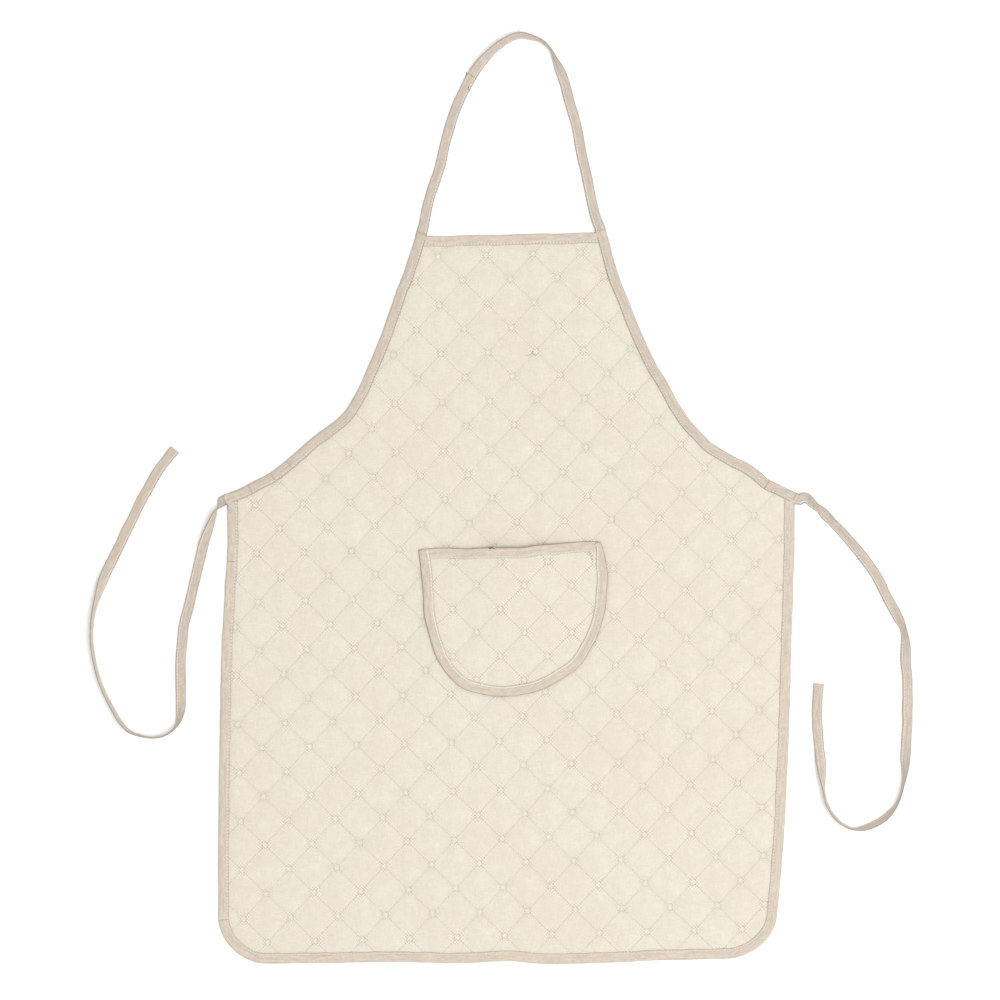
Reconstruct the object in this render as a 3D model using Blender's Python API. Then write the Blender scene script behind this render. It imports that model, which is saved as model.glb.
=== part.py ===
"""A bib kitchen apron of quilted cloth, laid flat on a surface.

Metres, +Z up. The apron lies on the XY plane, its neck loop towards +Y and its pocket up. The
origin is under the middle of the apron, measured without the two loose ties. Left is -X.
"""

import math

import bmesh
import bpy
import numpy as np
from mathutils import Matrix, Vector

# Outline of the apron
BODY_LENGTH = 0.7995  # bib's top edge to the hem
BODY_WIDTH = 0.630  # skirt, at its widest
BIB_WIDTH = 0.209
BIB_DEPTH = 0.285  # bib's top edge to the corners where the ties leave
BIB_SHIFT = 0.005  # how far right of the middle the bib lies
BIB_DROP = 0.0046  # how much lower the bib's left corner lies
HEM_CORNER_LEFT = 0.058  # radius of the hem's left corner
HEM_CORNER_RIGHT = 0.068
HEM_WAVE = 0.006  # how far the hem's line rises and falls
LOOP_RISE = 0.218  # neck loop, above the bib

# Thickness of the cloth
CORE_THICKNESS = 0.0010  # quilted cloth where it is stitched flat
PUFF_HEIGHT = 0.0013  # padding above and below the core, at the middle of a diamond
STITCH_PADDING = 0.00015  # padding that is left along the stitching
BINDING_WALL = 0.0010  # binding, each side of the edge it is folded over
BINDING_WIDTH = 0.0114
TAPE_WIDTH = 0.0115  # neck loop and ties
TAPE_THICKNESS = 0.0016
CLEARANCE = 0.0003  # between pieces that touch on the real apron

# Quilting: diamonds between two families of stitched lines
QUILT_ACROSS = 0.0518  # one diamond, side to side
QUILT_DOWN = 0.0531  # one diamond, top to bottom
QUILT_TURN = math.radians(1.6)
QUILT_CROSSING_X = 0.1150  # where two lines of stitching cross
QUILT_CROSSING_Y = -0.0226
POCKET_QUILT_DOWN = 0.0516
POCKET_QUILT_CROSSING_X = -0.0066
POCKET_QUILT_CROSSING_Y = -0.1204

# Pocket
POCKET_WIDTH = 0.207
POCKET_DEPTH = 0.171
POCKET_DROP = 0.3375  # bib's top edge to the pocket's mouth
POCKET_SHIFT = 0.0075  # how far right of the middle the pocket lies
POCKET_GAPE = 0.007  # how far the middle of the mouth stands off the apron
MOUTH_BAND = 0.0225  # down from the mouth's highest point, the pocket bends only across

# Neck loop and ties
STRAP_START = 0.0044  # armhole binding past the bib's top edge
TIE_START = 0.0065  # armhole binding past the side corner
STRAP_SETTLE = 0.030  # length in which a strap comes down to the surface
STRAIGHT_START = 0.0016  # length in which a strap keeps the binding's direction

# Finish of the curves
OUTLINE_STEP = 0.012
STRAP_STEP = 0.0095
TIE_STEP = 0.0098
SETTLE_POINTS = 8  # along each stretch where a tape comes down to the surface
BOW_BENDS = 12  # flat facets across the pocket's mouth
CORNER_FACETS = 9  # round each corner of the hem
ROUTE_STEP = 0.0014  # fine enough to measure along a tape's route
FLAT_ENOUGH = 0.00012  # a point this close to its neighbours' line is left out
WELD = 1e-6  # points closer than this are one point

CLOTH_COLOUR = (0.84, 0.78, 0.66)
CLOTH_ROUGHNESS = 0.9
TAPE_COLOUR = (0.73, 0.64, 0.52)
TAPE_ROUGHNESS = 0.85

# Armhole: columns are the drop as a share of its height, then how far it has flared out, as a
# share of the whole flare, on the left and on the right
ARMHOLE = (
    (0.000, 0.000, 0.000),
    (0.140, 0.059, 0.053),
    (0.260, 0.124, 0.117),
    (0.370, 0.172, 0.179),
    (0.490, 0.242, 0.254),
    (0.600, 0.307, 0.341),
    (0.680, 0.375, 0.404),
    (0.730, 0.448, 0.453),
    (0.800, 0.569, 0.553),
    (0.875, 0.711, 0.715),
    (0.950, 0.880, 0.872),
    (1.000, 1.000, 1.000),
)

# Side: columns are the drop as a share of the side's length down to the hem's corner, then the
# distance from the middle as a share of half the apron's width, on the left and on the right
SIDE = (
    (0.00, 0.967, 1.000),
    (0.12, 0.966, 0.999),
    (0.25, 0.977, 0.994),
    (0.40, 0.988, 0.987),
    (0.55, 0.992, 0.981),
    (0.70, 0.996, 0.972),
    (0.85, 0.998, 0.960),
    (1.00, 0.998, 0.941),
)

# Hem, left to right: columns are the share of its length between the corners, and the rise above
# its lowest point as a share of HEM_WAVE
HEM = (
    (0.00, 0.15),
    (0.11, 0.25),
    (0.29, 0.45),
    (0.43, 0.22),
    (0.52, 0.60),
    (0.61, 0.10),
    (0.75, 0.35),
    (0.88, 0.80),
    (1.00, 1.00),
)

# Pocket's curved edge, from its right corner round to its left one: columns are the distance
# across as a share of half its width, and the drop as a share of its depth
POCKET_CURVE = (
    (0.964, 0.004),
    (0.995, 0.096),
    (1.000, 0.198),
    (0.974, 0.428),
    (0.879, 0.639),
    (0.679, 0.812),
    (0.383, 0.939),
    (0.077, 0.994),
    (-0.108, 1.000),
    (-0.345, 0.984),
    (-0.609, 0.904),
    (-0.794, 0.776),
    (-0.899, 0.569),
    (-0.952, 0.313),
    (-0.984, 0.153),
    (-1.000, 0.058),
)

# Pocket's mouth, left to right, in the same two columns
POCKET_MOUTH = (
    (-1.000, 0.058),
    (-0.500, 0.052),
    (0.000, 0.038),
    (0.500, 0.018),
    (0.964, 0.004),
)

# Neck loop, from the left side of the bib to the right: columns are the distance across as a
# share of half the bib's width, the rise as a share of LOOP_RISE, and the roll in degrees
NECK_LOOP = (
    (-0.880, 0.116, 0),
    (-0.805, 0.236, 0),
    (-0.729, 0.356, 0),
    (-0.669, 0.476, 0),
    (-0.594, 0.596, 0),
    (-0.484, 0.715, 5),
    (-0.332, 0.835, 15),
    (-0.208, 0.893, 30),
    (-0.063, 0.948, 45),
    (0.096, 0.986, 58),
    (0.219, 0.974, 66),
    (0.325, 0.952, 72),
    (0.412, 0.910, 78),
    (0.465, 0.860, 48),
    (0.526, 0.795, 12),
    (0.599, 0.685, 0),
    (0.667, 0.566, 0),
    (0.729, 0.426, 0),
    (0.784, 0.296, 0),
    (0.839, 0.176, 0),
    (0.901, 0.056, 0),
)

# Ties: hand-laid routes from the end of the armhole binding, as metres across, metres up the
# apron and roll in degrees. A tie flips over or stands on its edge where it turns.
LEFT_TIE = (
    (-0.0029, -0.0038, 40),
    (-0.0057, -0.0090, 85),
    (-0.0080, -0.0140, 135),
    (-0.0111, -0.0199, 172),
    (-0.0142, -0.0276, 180),
    (-0.0210, -0.0505, 180),
    (-0.0286, -0.0766, 180),
    (-0.0365, -0.1093, 180),
    (-0.0425, -0.1333, 180),
    (-0.0458, -0.1584, 180),
    (-0.0472, -0.1867, 180),
    (-0.0465, -0.2129, 180),
    (-0.0470, -0.2292, 205),
    (-0.0491, -0.2401, 235),
    (-0.0531, -0.2483, 262),
    (-0.0616, -0.2552, 268),
    (-0.0768, -0.2587, 270),
    (-0.0910, -0.2563, 268),
    (-0.1025, -0.2519, 262),
    (-0.1106, -0.2439, 252),
    (-0.1210, -0.2270, 250),
    (-0.1303, -0.2085, 252),
    (-0.1370, -0.1905, 252),
    (-0.1416, -0.1704, 252),
    (-0.1438, -0.1507, 252),
    (-0.1431, -0.1311, 250),
    (-0.1398, -0.1137, 243),
    (-0.1357, -0.0995, 224),
    (-0.1303, -0.0843, 202),
    (-0.1221, -0.0657, 180),
    (-0.1112, -0.0439, 180),
    (-0.1008, -0.0221, 180),
    (-0.0899, -0.0003, 180),
    (-0.0779, 0.0215, 180),
    (-0.0665, 0.0395, 180),
    (-0.0534, 0.0561, 180),
)
RIGHT_TIE = (
    (0.0072, -0.0001, 0),
    (0.0138, -0.0014, 20),
    (0.0193, -0.0048, 50),
    (0.0242, -0.0099, 35),
    (0.0296, -0.0158, 10),
    (0.0362, -0.0229, 0),
    (0.0438, -0.0307, 0),
    (0.0558, -0.0448, 0),
    (0.0698, -0.0615, 0),
    (0.0851, -0.0823, 0),
    (0.0976, -0.1074, 0),
    (0.1081, -0.1267, 15),
    (0.1147, -0.1419, 60),
    (0.1168, -0.1523, 45),
    (0.1175, -0.1643, 15),
    (0.1177, -0.1773, 0),
    (0.1196, -0.1991, 0),
    (0.1197, -0.2231, 0),
    (0.1189, -0.2547, 0),
    (0.1173, -0.2809, 25),
    (0.1160, -0.2972, 60),
    (0.1145, -0.3103, 85),
    (0.1101, -0.3267, 88),
    (0.1051, -0.3360, 80),
    (0.0972, -0.3447, 62),
    (0.0901, -0.3504, 60),
    (0.0814, -0.3550, 62),
    (0.0711, -0.3586, 68),
    (0.0623, -0.3598, 84),
    (0.0525, -0.3570, 84),
    (0.0427, -0.3498, 76),
    (0.0351, -0.3403, 76),
    (0.0302, -0.3299, 74),
    (0.0279, -0.3180, 76),
    (0.0264, -0.3049, 50),
    (0.0251, -0.2918, 22),
    (0.0229, -0.2678, 0),
    (0.0211, -0.2460, 0),
    (0.0208, -0.2242, 0),
    (0.0226, -0.2013, 0),
)

LEFT, RIGHT = -1, 1

# Levels that follow from the sizes
CORE_BOTTOM = max(PUFF_HEIGHT, BINDING_WALL + CLEARANCE)
CORE_TOP = CORE_BOTTOM + CORE_THICKNESS
CORE_MIDDLE = (CORE_BOTTOM + CORE_TOP) / 2
CLOTH_TOP = CORE_TOP + max(PUFF_HEIGHT, BINDING_WALL + CLEARANCE)
POCKET_LIFT = CLOTH_TOP + CLEARANCE
BOW_SHARES = np.linspace(-1, 1, BOW_BENDS + 1)
QUILT_CROSSING = (QUILT_CROSSING_X, QUILT_CROSSING_Y)
POCKET_QUILT_CROSSING = (POCKET_QUILT_CROSSING_X, POCKET_QUILT_CROSSING_Y)
HEM_Y = -(BODY_LENGTH + LOOP_RISE) / 2
BIB_Y = HEM_Y + BODY_LENGTH
SIDE_CORNER_Y = BIB_Y - BIB_DEPTH
POCKET_Y = BIB_Y - POCKET_DROP
MOUTH_Y = POCKET_Y - MOUTH_BAND
FOLD_INSET = BINDING_WALL + CLEARANCE  # edge of the quilted cloth inside its binding
INNER_INSET = BINDING_WIDTH + CLEARANCE  # padding next to its binding
TRIM_REACH = 0.030  # how far a trimming sweep runs past the strip it follows
TRIM_HEIGHT = 0.020


def clear_scene():
    for obj in list(bpy.data.objects):
        bpy.data.objects.remove(obj)


def new_collection(name):
    collection = bpy.data.collections.new(name)
    bpy.context.scene.collection.children.link(collection)
    return collection


def new_object(name, data, collection):
    obj = bpy.data.objects.new(name, data)
    collection.objects.link(obj)
    return obj


def give_material(obj, kind, colour, roughness):
    material = bpy.data.materials.new(obj.name + kind)
    material.use_nodes = True
    shader = material.node_tree.nodes["Principled BSDF"]
    shader.inputs["Base Color"].default_value = (*colour, 1)
    shader.inputs["Roughness"].default_value = roughness
    shader.inputs["Metallic"].default_value = 0
    obj.data.materials.clear()
    obj.data.materials.append(material)


def smooth_path(points, step):
    """A smooth curve through the points, whose first two columns are x and y, sampled evenly."""
    points = np.array(points, float)
    chord = np.diff(points, axis=0)
    length = np.linalg.norm(chord[:, :2], axis=1)[:, None]
    slope = chord / length
    tangent = np.empty_like(points)
    tangent[0], tangent[-1] = slope[0], slope[-1]
    tangent[1:-1] = (slope[:-1] * length[1:] + slope[1:] * length[:-1]) / (length[:-1] + length[1:])
    path = []
    for i in range(len(length)):
        count = max(1, round(length[i, 0] / step))
        for t in np.arange(count) / count:
            start = (2 * t**3 - 3 * t**2 + 1) * points[i] + (t**3 - 2 * t**2 + t) * length[i] * tangent[i]
            end = (3 * t**2 - 2 * t**3) * points[i + 1] + (t**3 - t**2) * length[i] * tangent[i + 1]
            path.append(start + end)
    return np.array(path + [points[-1]])


def thin_path(path):
    """The path without the points that lie on the line between their neighbours."""
    kept = [path[0]]
    for i in range(1, len(path) - 1):
        along = path[i + 1] - kept[-1]
        across = path[i] - kept[-1]
        off = abs(along[0] * across[1] - along[1] * across[0]) / np.linalg.norm(along)
        if off > FLAT_ENOUGH:
            kept.append(path[i])
    return np.array(kept + [path[-1]])


def inset_outline(outline, inset):
    """The closed counter-clockwise outline moved inwards."""
    before = outline - np.roll(outline, 1, axis=0)
    after = np.roll(outline, -1, axis=0) - outline
    before /= np.linalg.norm(before, axis=1)[:, None]
    after /= np.linalg.norm(after, axis=1)[:, None]
    middle = before + after
    middle /= np.linalg.norm(middle, axis=1)[:, None]
    inward = np.column_stack([-middle[:, 1], middle[:, 0]])
    miter = inset / np.sum(middle * after, axis=1)
    return outline + inward * miter[:, None]


def extend_path(path, before, after):
    """The path with a straight run added at each end, in the direction it has there."""
    start = path[0] - path[1]
    end = path[-1] - path[-2]
    first = path[0] + start / np.linalg.norm(start) * before
    last = path[-1] + end / np.linalg.norm(end) * after
    return np.vstack([first, path[1:-1], last])


def side_value(row, side):
    return row[1] if side == LEFT else row[2]


def bib_corner(side):
    drop = BIB_DROP if side == LEFT else 0
    return np.array([BIB_SHIFT + side * BIB_WIDTH / 2, BIB_Y - drop])


def side_corner(side):
    return np.array([side * BODY_WIDTH / 2 * side_value(SIDE[0], side), SIDE_CORNER_Y])


def armhole_path(side):
    """The armhole's edge, from the bib's corner down to the side corner."""
    top, bottom = bib_corner(side), side_corner(side)
    rows = []
    for row in ARMHOLE:
        share = np.array([side_value(row, side), row[0]])
        rows.append(top + (bottom - top) * share)
    return smooth_path(rows, OUTLINE_STEP)


def side_path(side):
    """The skirt's side, from its corner down to where the hem's round corner begins."""
    lowest = HEM_Y + hem_corner(side)
    rows = []
    for row in SIDE:
        x = side * BODY_WIDTH / 2 * side_value(row, side)
        rows.append((x, SIDE_CORNER_Y + (lowest - SIDE_CORNER_Y) * row[0]))
    return smooth_path(rows, OUTLINE_STEP)


def hem_corner(side):
    return HEM_CORNER_LEFT if side == LEFT else HEM_CORNER_RIGHT


def round_corner(side_end, hem_end):
    """Quarter of an oval from the foot of a side to the end of the hem's straight run."""
    centre = np.array([hem_end[0], side_end[1]])
    turns = np.linspace(0, math.pi / 2, CORNER_FACETS + 1)[1:-1]
    reach = np.array([side_end[0] - centre[0], hem_end[1] - centre[1]])
    return np.array([centre + reach * (math.cos(t), math.sin(t)) for t in turns])


def skirt_path():
    """The edge from the left side corner, down, along the hem, and up to the right side corner."""
    left, right = side_path(LEFT), side_path(RIGHT)
    start, end = left[-1][0] + HEM_CORNER_LEFT, right[-1][0] - HEM_CORNER_RIGHT
    rows = [(start + (end - start) * across, HEM_Y + HEM_WAVE * rise) for across, rise in HEM]
    hem = smooth_path(rows, OUTLINE_STEP)
    left_corner = round_corner(left[-1], hem[0])
    right_corner = round_corner(right[-1], hem[-1])[::-1]
    return thin_path(np.vstack([left, left_corner, hem, right_corner, right[::-1]]))


def body_outline():
    """The apron's closed outline, counter-clockwise from the left corner of the bib."""
    left = thin_path(armhole_path(LEFT))
    right = thin_path(armhole_path(RIGHT))[::-1]
    return np.vstack([left[:-1], skirt_path(), right[1:]])


def pocket_point(across, drop):
    return POCKET_SHIFT + POCKET_WIDTH / 2 * across, POCKET_Y - POCKET_DEPTH * drop


def pocket_curve_path():
    """The pocket's curved edge, clockwise from its right corner to its left one."""
    return smooth_path([pocket_point(*row) for row in POCKET_CURVE], OUTLINE_STEP)


def pocket_mouth_path():
    return smooth_path([pocket_point(*row) for row in POCKET_MOUTH], OUTLINE_STEP)


def pocket_outline():
    """The pocket's closed outline, counter-clockwise from its left corner."""
    return np.vstack([pocket_curve_path()[::-1][:-1], pocket_mouth_path()[::-1][:-1]])


def curve_object(name, points, closed, collection):
    data = bpy.data.curves.new(name, "CURVE")
    data.dimensions = "3D"
    spline = data.splines.new("POLY")
    spline.points.add(len(points) - 1)
    for point, place in zip(spline.points, points):
        point.co = (place[0], place[1], place[2] if len(place) > 2 else 0, 1)
    spline.use_cyclic_u = closed
    return new_object(name, data, collection)


def mesh_of_curve(curve):
    """The curve object's surface as a mesh with its caps welded on."""
    bpy.context.view_layer.update()
    graph = bpy.context.evaluated_depsgraph_get()
    mesh = bpy.data.meshes.new_from_object(curve.evaluated_get(graph))
    work = bmesh.new()
    work.from_mesh(mesh)
    bmesh.ops.remove_doubles(work, verts=work.verts, dist=WELD)
    bmesh.ops.recalc_face_normals(work, faces=work.faces)
    work.to_mesh(mesh)
    work.free()
    return mesh


def strip(name, path, profile, collection, rolls=None):
    """A closed profile swept along a path. The profile's +X is the right-hand side of the path."""
    section = curve_object(name + "_section", profile, True, collection)
    guide = curve_object(name + "_guide", path, False, collection)
    guide.data.twist_mode = "Z_UP"
    guide.data.bevel_mode = "OBJECT"
    guide.data.bevel_object = section
    guide.data.use_fill_caps = True
    if rolls is not None:
        for point, roll in zip(guide.data.splines[0].points, rolls):
            point.tilt = math.radians(roll)
    mesh = mesh_of_curve(guide)
    mesh.name = name
    for helper in (guide, section):
        bpy.data.objects.remove(helper)
    return new_object(name, mesh, collection)


def slab(name, outline, bottom, top, collection):
    """A flat plate of the outline, between two heights."""
    guide = curve_object(name + "_guide", outline, True, collection)
    guide.data.dimensions = "2D"
    guide.data.fill_mode = "BOTH"
    guide.data.extrude = (top - bottom) / 2
    mesh = mesh_of_curve(guide)
    mesh.name = name
    mesh.transform(Matrix.Translation((0, 0, (top + bottom) / 2)))
    bpy.data.objects.remove(guide)
    return new_object(name, mesh, collection)


def helper(obj):
    obj.hide_render = True
    obj.display_type = "WIRE"
    return obj


def boolean(obj, cutter, operation):
    modifier = obj.modifiers.new(operation.lower(), "BOOLEAN")
    modifier.operation = operation
    modifier.solver = "EXACT"
    modifier.object = cutter


def apply_modifiers(obj):
    """Keeps the object's evaluated mesh as its own."""
    bpy.context.view_layer.update()
    graph = bpy.context.evaluated_depsgraph_get()
    mesh = bpy.data.meshes.new_from_object(obj.evaluated_get(graph))
    mesh.name = obj.name
    obj.modifiers.clear()
    obj.data = mesh


def puffed_sheet(name, outline, down, turn, crossing, collection):
    """Padded cloth larger than the outline, each diamond drawn down to its four lines of stitching."""
    reach = np.linalg.norm(outline - np.array(crossing), axis=1).max()
    diamonds = math.ceil(2 * reach / min(QUILT_ACROSS, down)) + 1
    work = bmesh.new()
    # A unit of the grid is half a diamond, and its axes run along the stitching
    bmesh.ops.create_grid(work, x_segments=4 * diamonds, y_segments=4 * diamonds, size=2 * diamonds)
    half = Matrix(((QUILT_ACROSS / 4, QUILT_ACROSS / 4, 0), (down / 4, -down / 4, 0), (0, 0, 1)))
    place = Matrix.Rotation(turn, 3, "Z") @ half
    centre = Vector((crossing[0], crossing[1], 0))
    padding = {}
    for vertex in work.verts:
        column, row = round(vertex.co.x), round(vertex.co.y)
        padding[vertex] = PUFF_HEIGHT if column % 2 and row % 2 else STITCH_PADDING
        vertex.co = centre + place @ vertex.co
    low, high = outline.min(axis=0) - QUILT_DOWN, outline.max(axis=0) + QUILT_DOWN
    outside = [v for v in work.verts if not (low[0] < v.co.x < high[0] and low[1] < v.co.y < high[1])]
    bmesh.ops.delete(work, geom=outside, context="VERTS")
    under = list(work.verts)
    depth = {tuple(v.co): padding[v] for v in under}
    bmesh.ops.extrude_face_region(work, geom=list(work.faces))
    lower = set(under)
    for vertex in work.verts:
        above = depth[tuple(vertex.co)]
        vertex.co.z = CORE_BOTTOM - above if vertex in lower else CORE_TOP + above
    bmesh.ops.recalc_face_normals(work, faces=work.faces)
    mesh = bpy.data.meshes.new(name)
    work.to_mesh(mesh)
    work.free()
    return new_object(name, mesh, collection)


def quilted_panel(name, outline, down, turn, crossing, parts, cutters):
    """Quilted cloth: puffed inside its binding, and a thin flat edge that goes into the binding."""
    panel = puffed_sheet(name, outline, down, turn, crossing, parts)
    inside = slab(name + "_inside", inset_outline(outline, INNER_INSET), -TRIM_HEIGHT, TRIM_HEIGHT, cutters)
    edge = slab(name + "_edge", inset_outline(outline, FOLD_INSET), CORE_BOTTOM, CORE_TOP, cutters)
    boolean(panel, helper(inside), "INTERSECT")
    boolean(panel, helper(edge), "UNION")
    return panel


def binding_profile():
    """A U over the cloth's edge. The outline is at x = 0 and the cloth lies towards -X."""
    low, high = CORE_BOTTOM - FOLD_INSET, CORE_TOP + FOLD_INSET
    return (
        (0, low),
        (0, high),
        (-BINDING_WIDTH, high),
        (-BINDING_WIDTH, high - BINDING_WALL),
        (-BINDING_WALL, high - BINDING_WALL),
        (-BINDING_WALL, low + BINDING_WALL),
        (-BINDING_WIDTH, low + BINDING_WALL),
        (-BINDING_WIDTH, low),
    )


def trim_profile():
    """Everything that a binding keeps clear of the strips that end against it."""
    return (
        (TRIM_REACH, -TRIM_HEIGHT),
        (TRIM_REACH, TRIM_HEIGHT),
        (-INNER_INSET, TRIM_HEIGHT),
        (-INNER_INSET, -TRIM_HEIGHT),
    )


def tape_profile():
    across, up = TAPE_WIDTH / 2, TAPE_THICKNESS / 2
    return ((-across, -up), (across, -up), (across, up), (-across, up))


def armhole_binding(side, parts, cutters):
    """The binding on one armhole, and the sweep that trims what ends against it."""
    name = ("left" if side == LEFT else "right") + "_armhole_binding"
    edge = extend_path(thin_path(armhole_path(side)), STRAP_START, TIE_START)
    long_edge = extend_path(edge, TRIM_REACH, TRIM_REACH)
    if side == RIGHT:
        edge, long_edge = edge[::-1], long_edge[::-1]
    binding = strip(name, edge, binding_profile(), parts)
    return binding, helper(strip(name + "_trim", long_edge, trim_profile(), cutters))


def distance_along(path):
    return np.concatenate([[0], np.cumsum(np.linalg.norm(np.diff(path[:, :2], axis=0), axis=1))])


def tape(name, rows, step, both_ends, collection):
    """A flat tape along a route of rows (x, y, roll), with its lower edge on the surface.

    It leaves the binding halfway up the cloth and comes down to the surface in STRAP_SETTLE.
    """
    fine = smooth_path(rows, ROUTE_STEP)
    travelled = distance_along(fine)
    far_end = travelled[-1] - STRAP_SETTLE * both_ends
    near = np.concatenate([[0], np.linspace(STRAIGHT_START, STRAP_SETTLE, SETTLE_POINTS)])
    middle = np.linspace(STRAP_SETTLE, far_end, round((far_end - STRAP_SETTLE) / step) + 1)
    places = np.concatenate([near, middle[1:], (travelled[-1] - near[::-1])[1:] if both_ends else []])
    x, y, roll = (np.interp(places, travelled, column) for column in fine.T)
    from_end = np.minimum(places, travelled[-1] - places) if both_ends else places
    held = (1 + np.cos(math.pi * np.minimum(from_end / STRAP_SETTLE, 1))) / 2
    turn = np.radians(roll)
    resting = TAPE_WIDTH / 2 * abs(np.sin(turn)) + TAPE_THICKNESS / 2 * abs(np.cos(turn))
    height = resting + (CORE_MIDDLE - TAPE_THICKNESS / 2) * held
    return strip(name, np.column_stack([x, y, height]), tape_profile(), collection, rolls=roll)


def strap_start(side, end):
    """Middle of the armhole binding's end, a clearance past it: where a tape goes on from it."""
    edge = armhole_path(side)
    if end == "bib":
        edge, past = edge[::-1], STRAP_START
    else:
        past = TIE_START
    along = (edge[-1] - edge[-2]) / np.linalg.norm(edge[-1] - edge[-2])
    inward = np.array([-along[1], along[0]])
    if (end == "bib") == (side == LEFT):
        inward = -inward
    return edge[-1] + along * (past + CLEARANCE) + inward * BINDING_WIDTH / 2, along


def neck_loop(parts):
    left, left_along = strap_start(LEFT, "bib")
    right, right_along = strap_start(RIGHT, "bib")
    rows = [(*left, 0), (*(left + left_along * STRAIGHT_START), 0)]
    for across, rise, roll in NECK_LOOP:
        rows.append((BIB_SHIFT + BIB_WIDTH / 2 * across, BIB_Y + LOOP_RISE * rise, roll))
    rows += [(*(right + right_along * STRAIGHT_START), 0), (*right, 0)]
    return tape("neck_loop", rows, STRAP_STEP, True, parts)


def tie(side, parts):
    start, along = strap_start(side, "side")
    route = LEFT_TIE if side == LEFT else RIGHT_TIE
    rows = [(*start, 0), (*(start + along * STRAIGHT_START), 0)]
    rows += [(start[0] + x, start[1] + y, roll) for x, y, roll in route]
    return tape("left_tie" if side == LEFT else "right_tie", rows, TIE_STEP, False, parts)


def mouth_span(y):
    """Left and right ends of the pocket's front, inside its seam, at this height up the apron."""
    inner = inset_outline(pocket_outline(), INNER_INSET)
    level = min(y, MOUTH_Y)
    lowest = int(inner[:, 1].argmin())
    highest = int(inner[:, 1].argmax())
    left, right = inner[: lowest + 1][::-1], inner[lowest : highest + 1]
    return np.interp(level, left[:, 1], left[:, 0]), np.interp(level, right[:, 1], right[:, 0])


def pocket_stand_off(x, y):
    """How far the pocket's front stands off the apron: nothing along its seam, most at its mouth."""
    left, right = mouth_span(y)
    floor = POCKET_Y - POCKET_DEPTH + INNER_INSET
    up = (y - floor) / (MOUTH_Y - floor)
    if up <= 0 or not left < x < right:
        return 0
    across = (2 * x - left - right) / (right - left)
    bow = np.interp(across, BOW_SHARES, (1 - BOW_SHARES**2) ** 2)
    rise = min(up, 1)
    return POCKET_GAPE * bow * rise**2 * (3 - 2 * rise)


def cut_across_mouth(mesh):
    """Splits the faces near the mouth where the pocket bends, so that its pieces bend alike."""
    left, right = mouth_span(MOUTH_Y)
    work = bmesh.new()
    work.from_mesh(mesh)
    for share in BOW_SHARES[1:-1]:
        faces = [f for f in work.faces if max(v.co.y for v in f.verts) > MOUTH_Y]
        edges = {e for f in faces for e in f.edges}
        verts = {v for f in faces for v in f.verts}
        place = ((left + right + (right - left) * share) / 2, 0, 0)
        bmesh.ops.bisect_plane(
            work, geom=[*verts, *edges, *faces], dist=WELD, plane_co=place, plane_no=(1, 0, 0)
        )
    work.to_mesh(mesh)
    work.free()


def shape_pocket(obj):
    """Lifts a piece of the pocket onto the apron and bows it out with the pocket's mouth."""
    apply_modifiers(obj)
    cut_across_mouth(obj.data)
    for vertex in obj.data.vertices:
        vertex.co.z += POCKET_LIFT + pocket_stand_off(vertex.co.x, vertex.co.y)


def build_body(parts, cutters):
    panel = quilted_panel(
        "apron_panel", body_outline(), QUILT_DOWN, QUILT_TURN, QUILT_CROSSING, parts, cutters
    )
    bindings, trims = zip(*(armhole_binding(side, parts, cutters) for side in (LEFT, RIGHT)))
    hem = strip("hem_binding", skirt_path(), binding_profile(), parts)
    top = strip("bib_top_binding", [bib_corner(RIGHT), bib_corner(LEFT)], binding_profile(), parts)
    for piece in (hem, top):
        for trim in trims:
            boolean(piece, trim, "DIFFERENCE")
    return [panel], [*bindings, hem, top]


def build_pocket(parts, cutters):
    panel = quilted_panel(
        "pocket_panel", pocket_outline(), POCKET_QUILT_DOWN, 0, POCKET_QUILT_CROSSING, parts, cutters
    )
    curve = pocket_curve_path()[::-1]
    binding = strip("pocket_curve_binding", curve, binding_profile(), parts)
    trim = strip("pocket_trim", extend_path(curve, TRIM_REACH, TRIM_REACH), trim_profile(), cutters)
    mouth = strip("pocket_top_binding", pocket_mouth_path()[::-1], binding_profile(), parts)
    boolean(mouth, helper(trim), "DIFFERENCE")
    for piece in (panel, binding, mouth):
        shape_pocket(piece)
    return [panel], [binding, mouth]


def main():
    clear_scene()
    parts = new_collection("kitchen_apron")
    cutters = new_collection("cutters")
    body_cloth, body_tape = build_body(parts, cutters)
    pocket_cloth, pocket_tape = build_pocket(parts, cutters)
    straps = [neck_loop(parts), tie(LEFT, parts), tie(RIGHT, parts)]
    for obj in body_cloth + pocket_cloth:
        give_material(obj, "_cotton", CLOTH_COLOUR, CLOTH_ROUGHNESS)
    for obj in body_tape + pocket_tape + straps:
        give_material(obj, "_tape", TAPE_COLOUR, TAPE_ROUGHNESS)


main()
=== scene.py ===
import math

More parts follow.
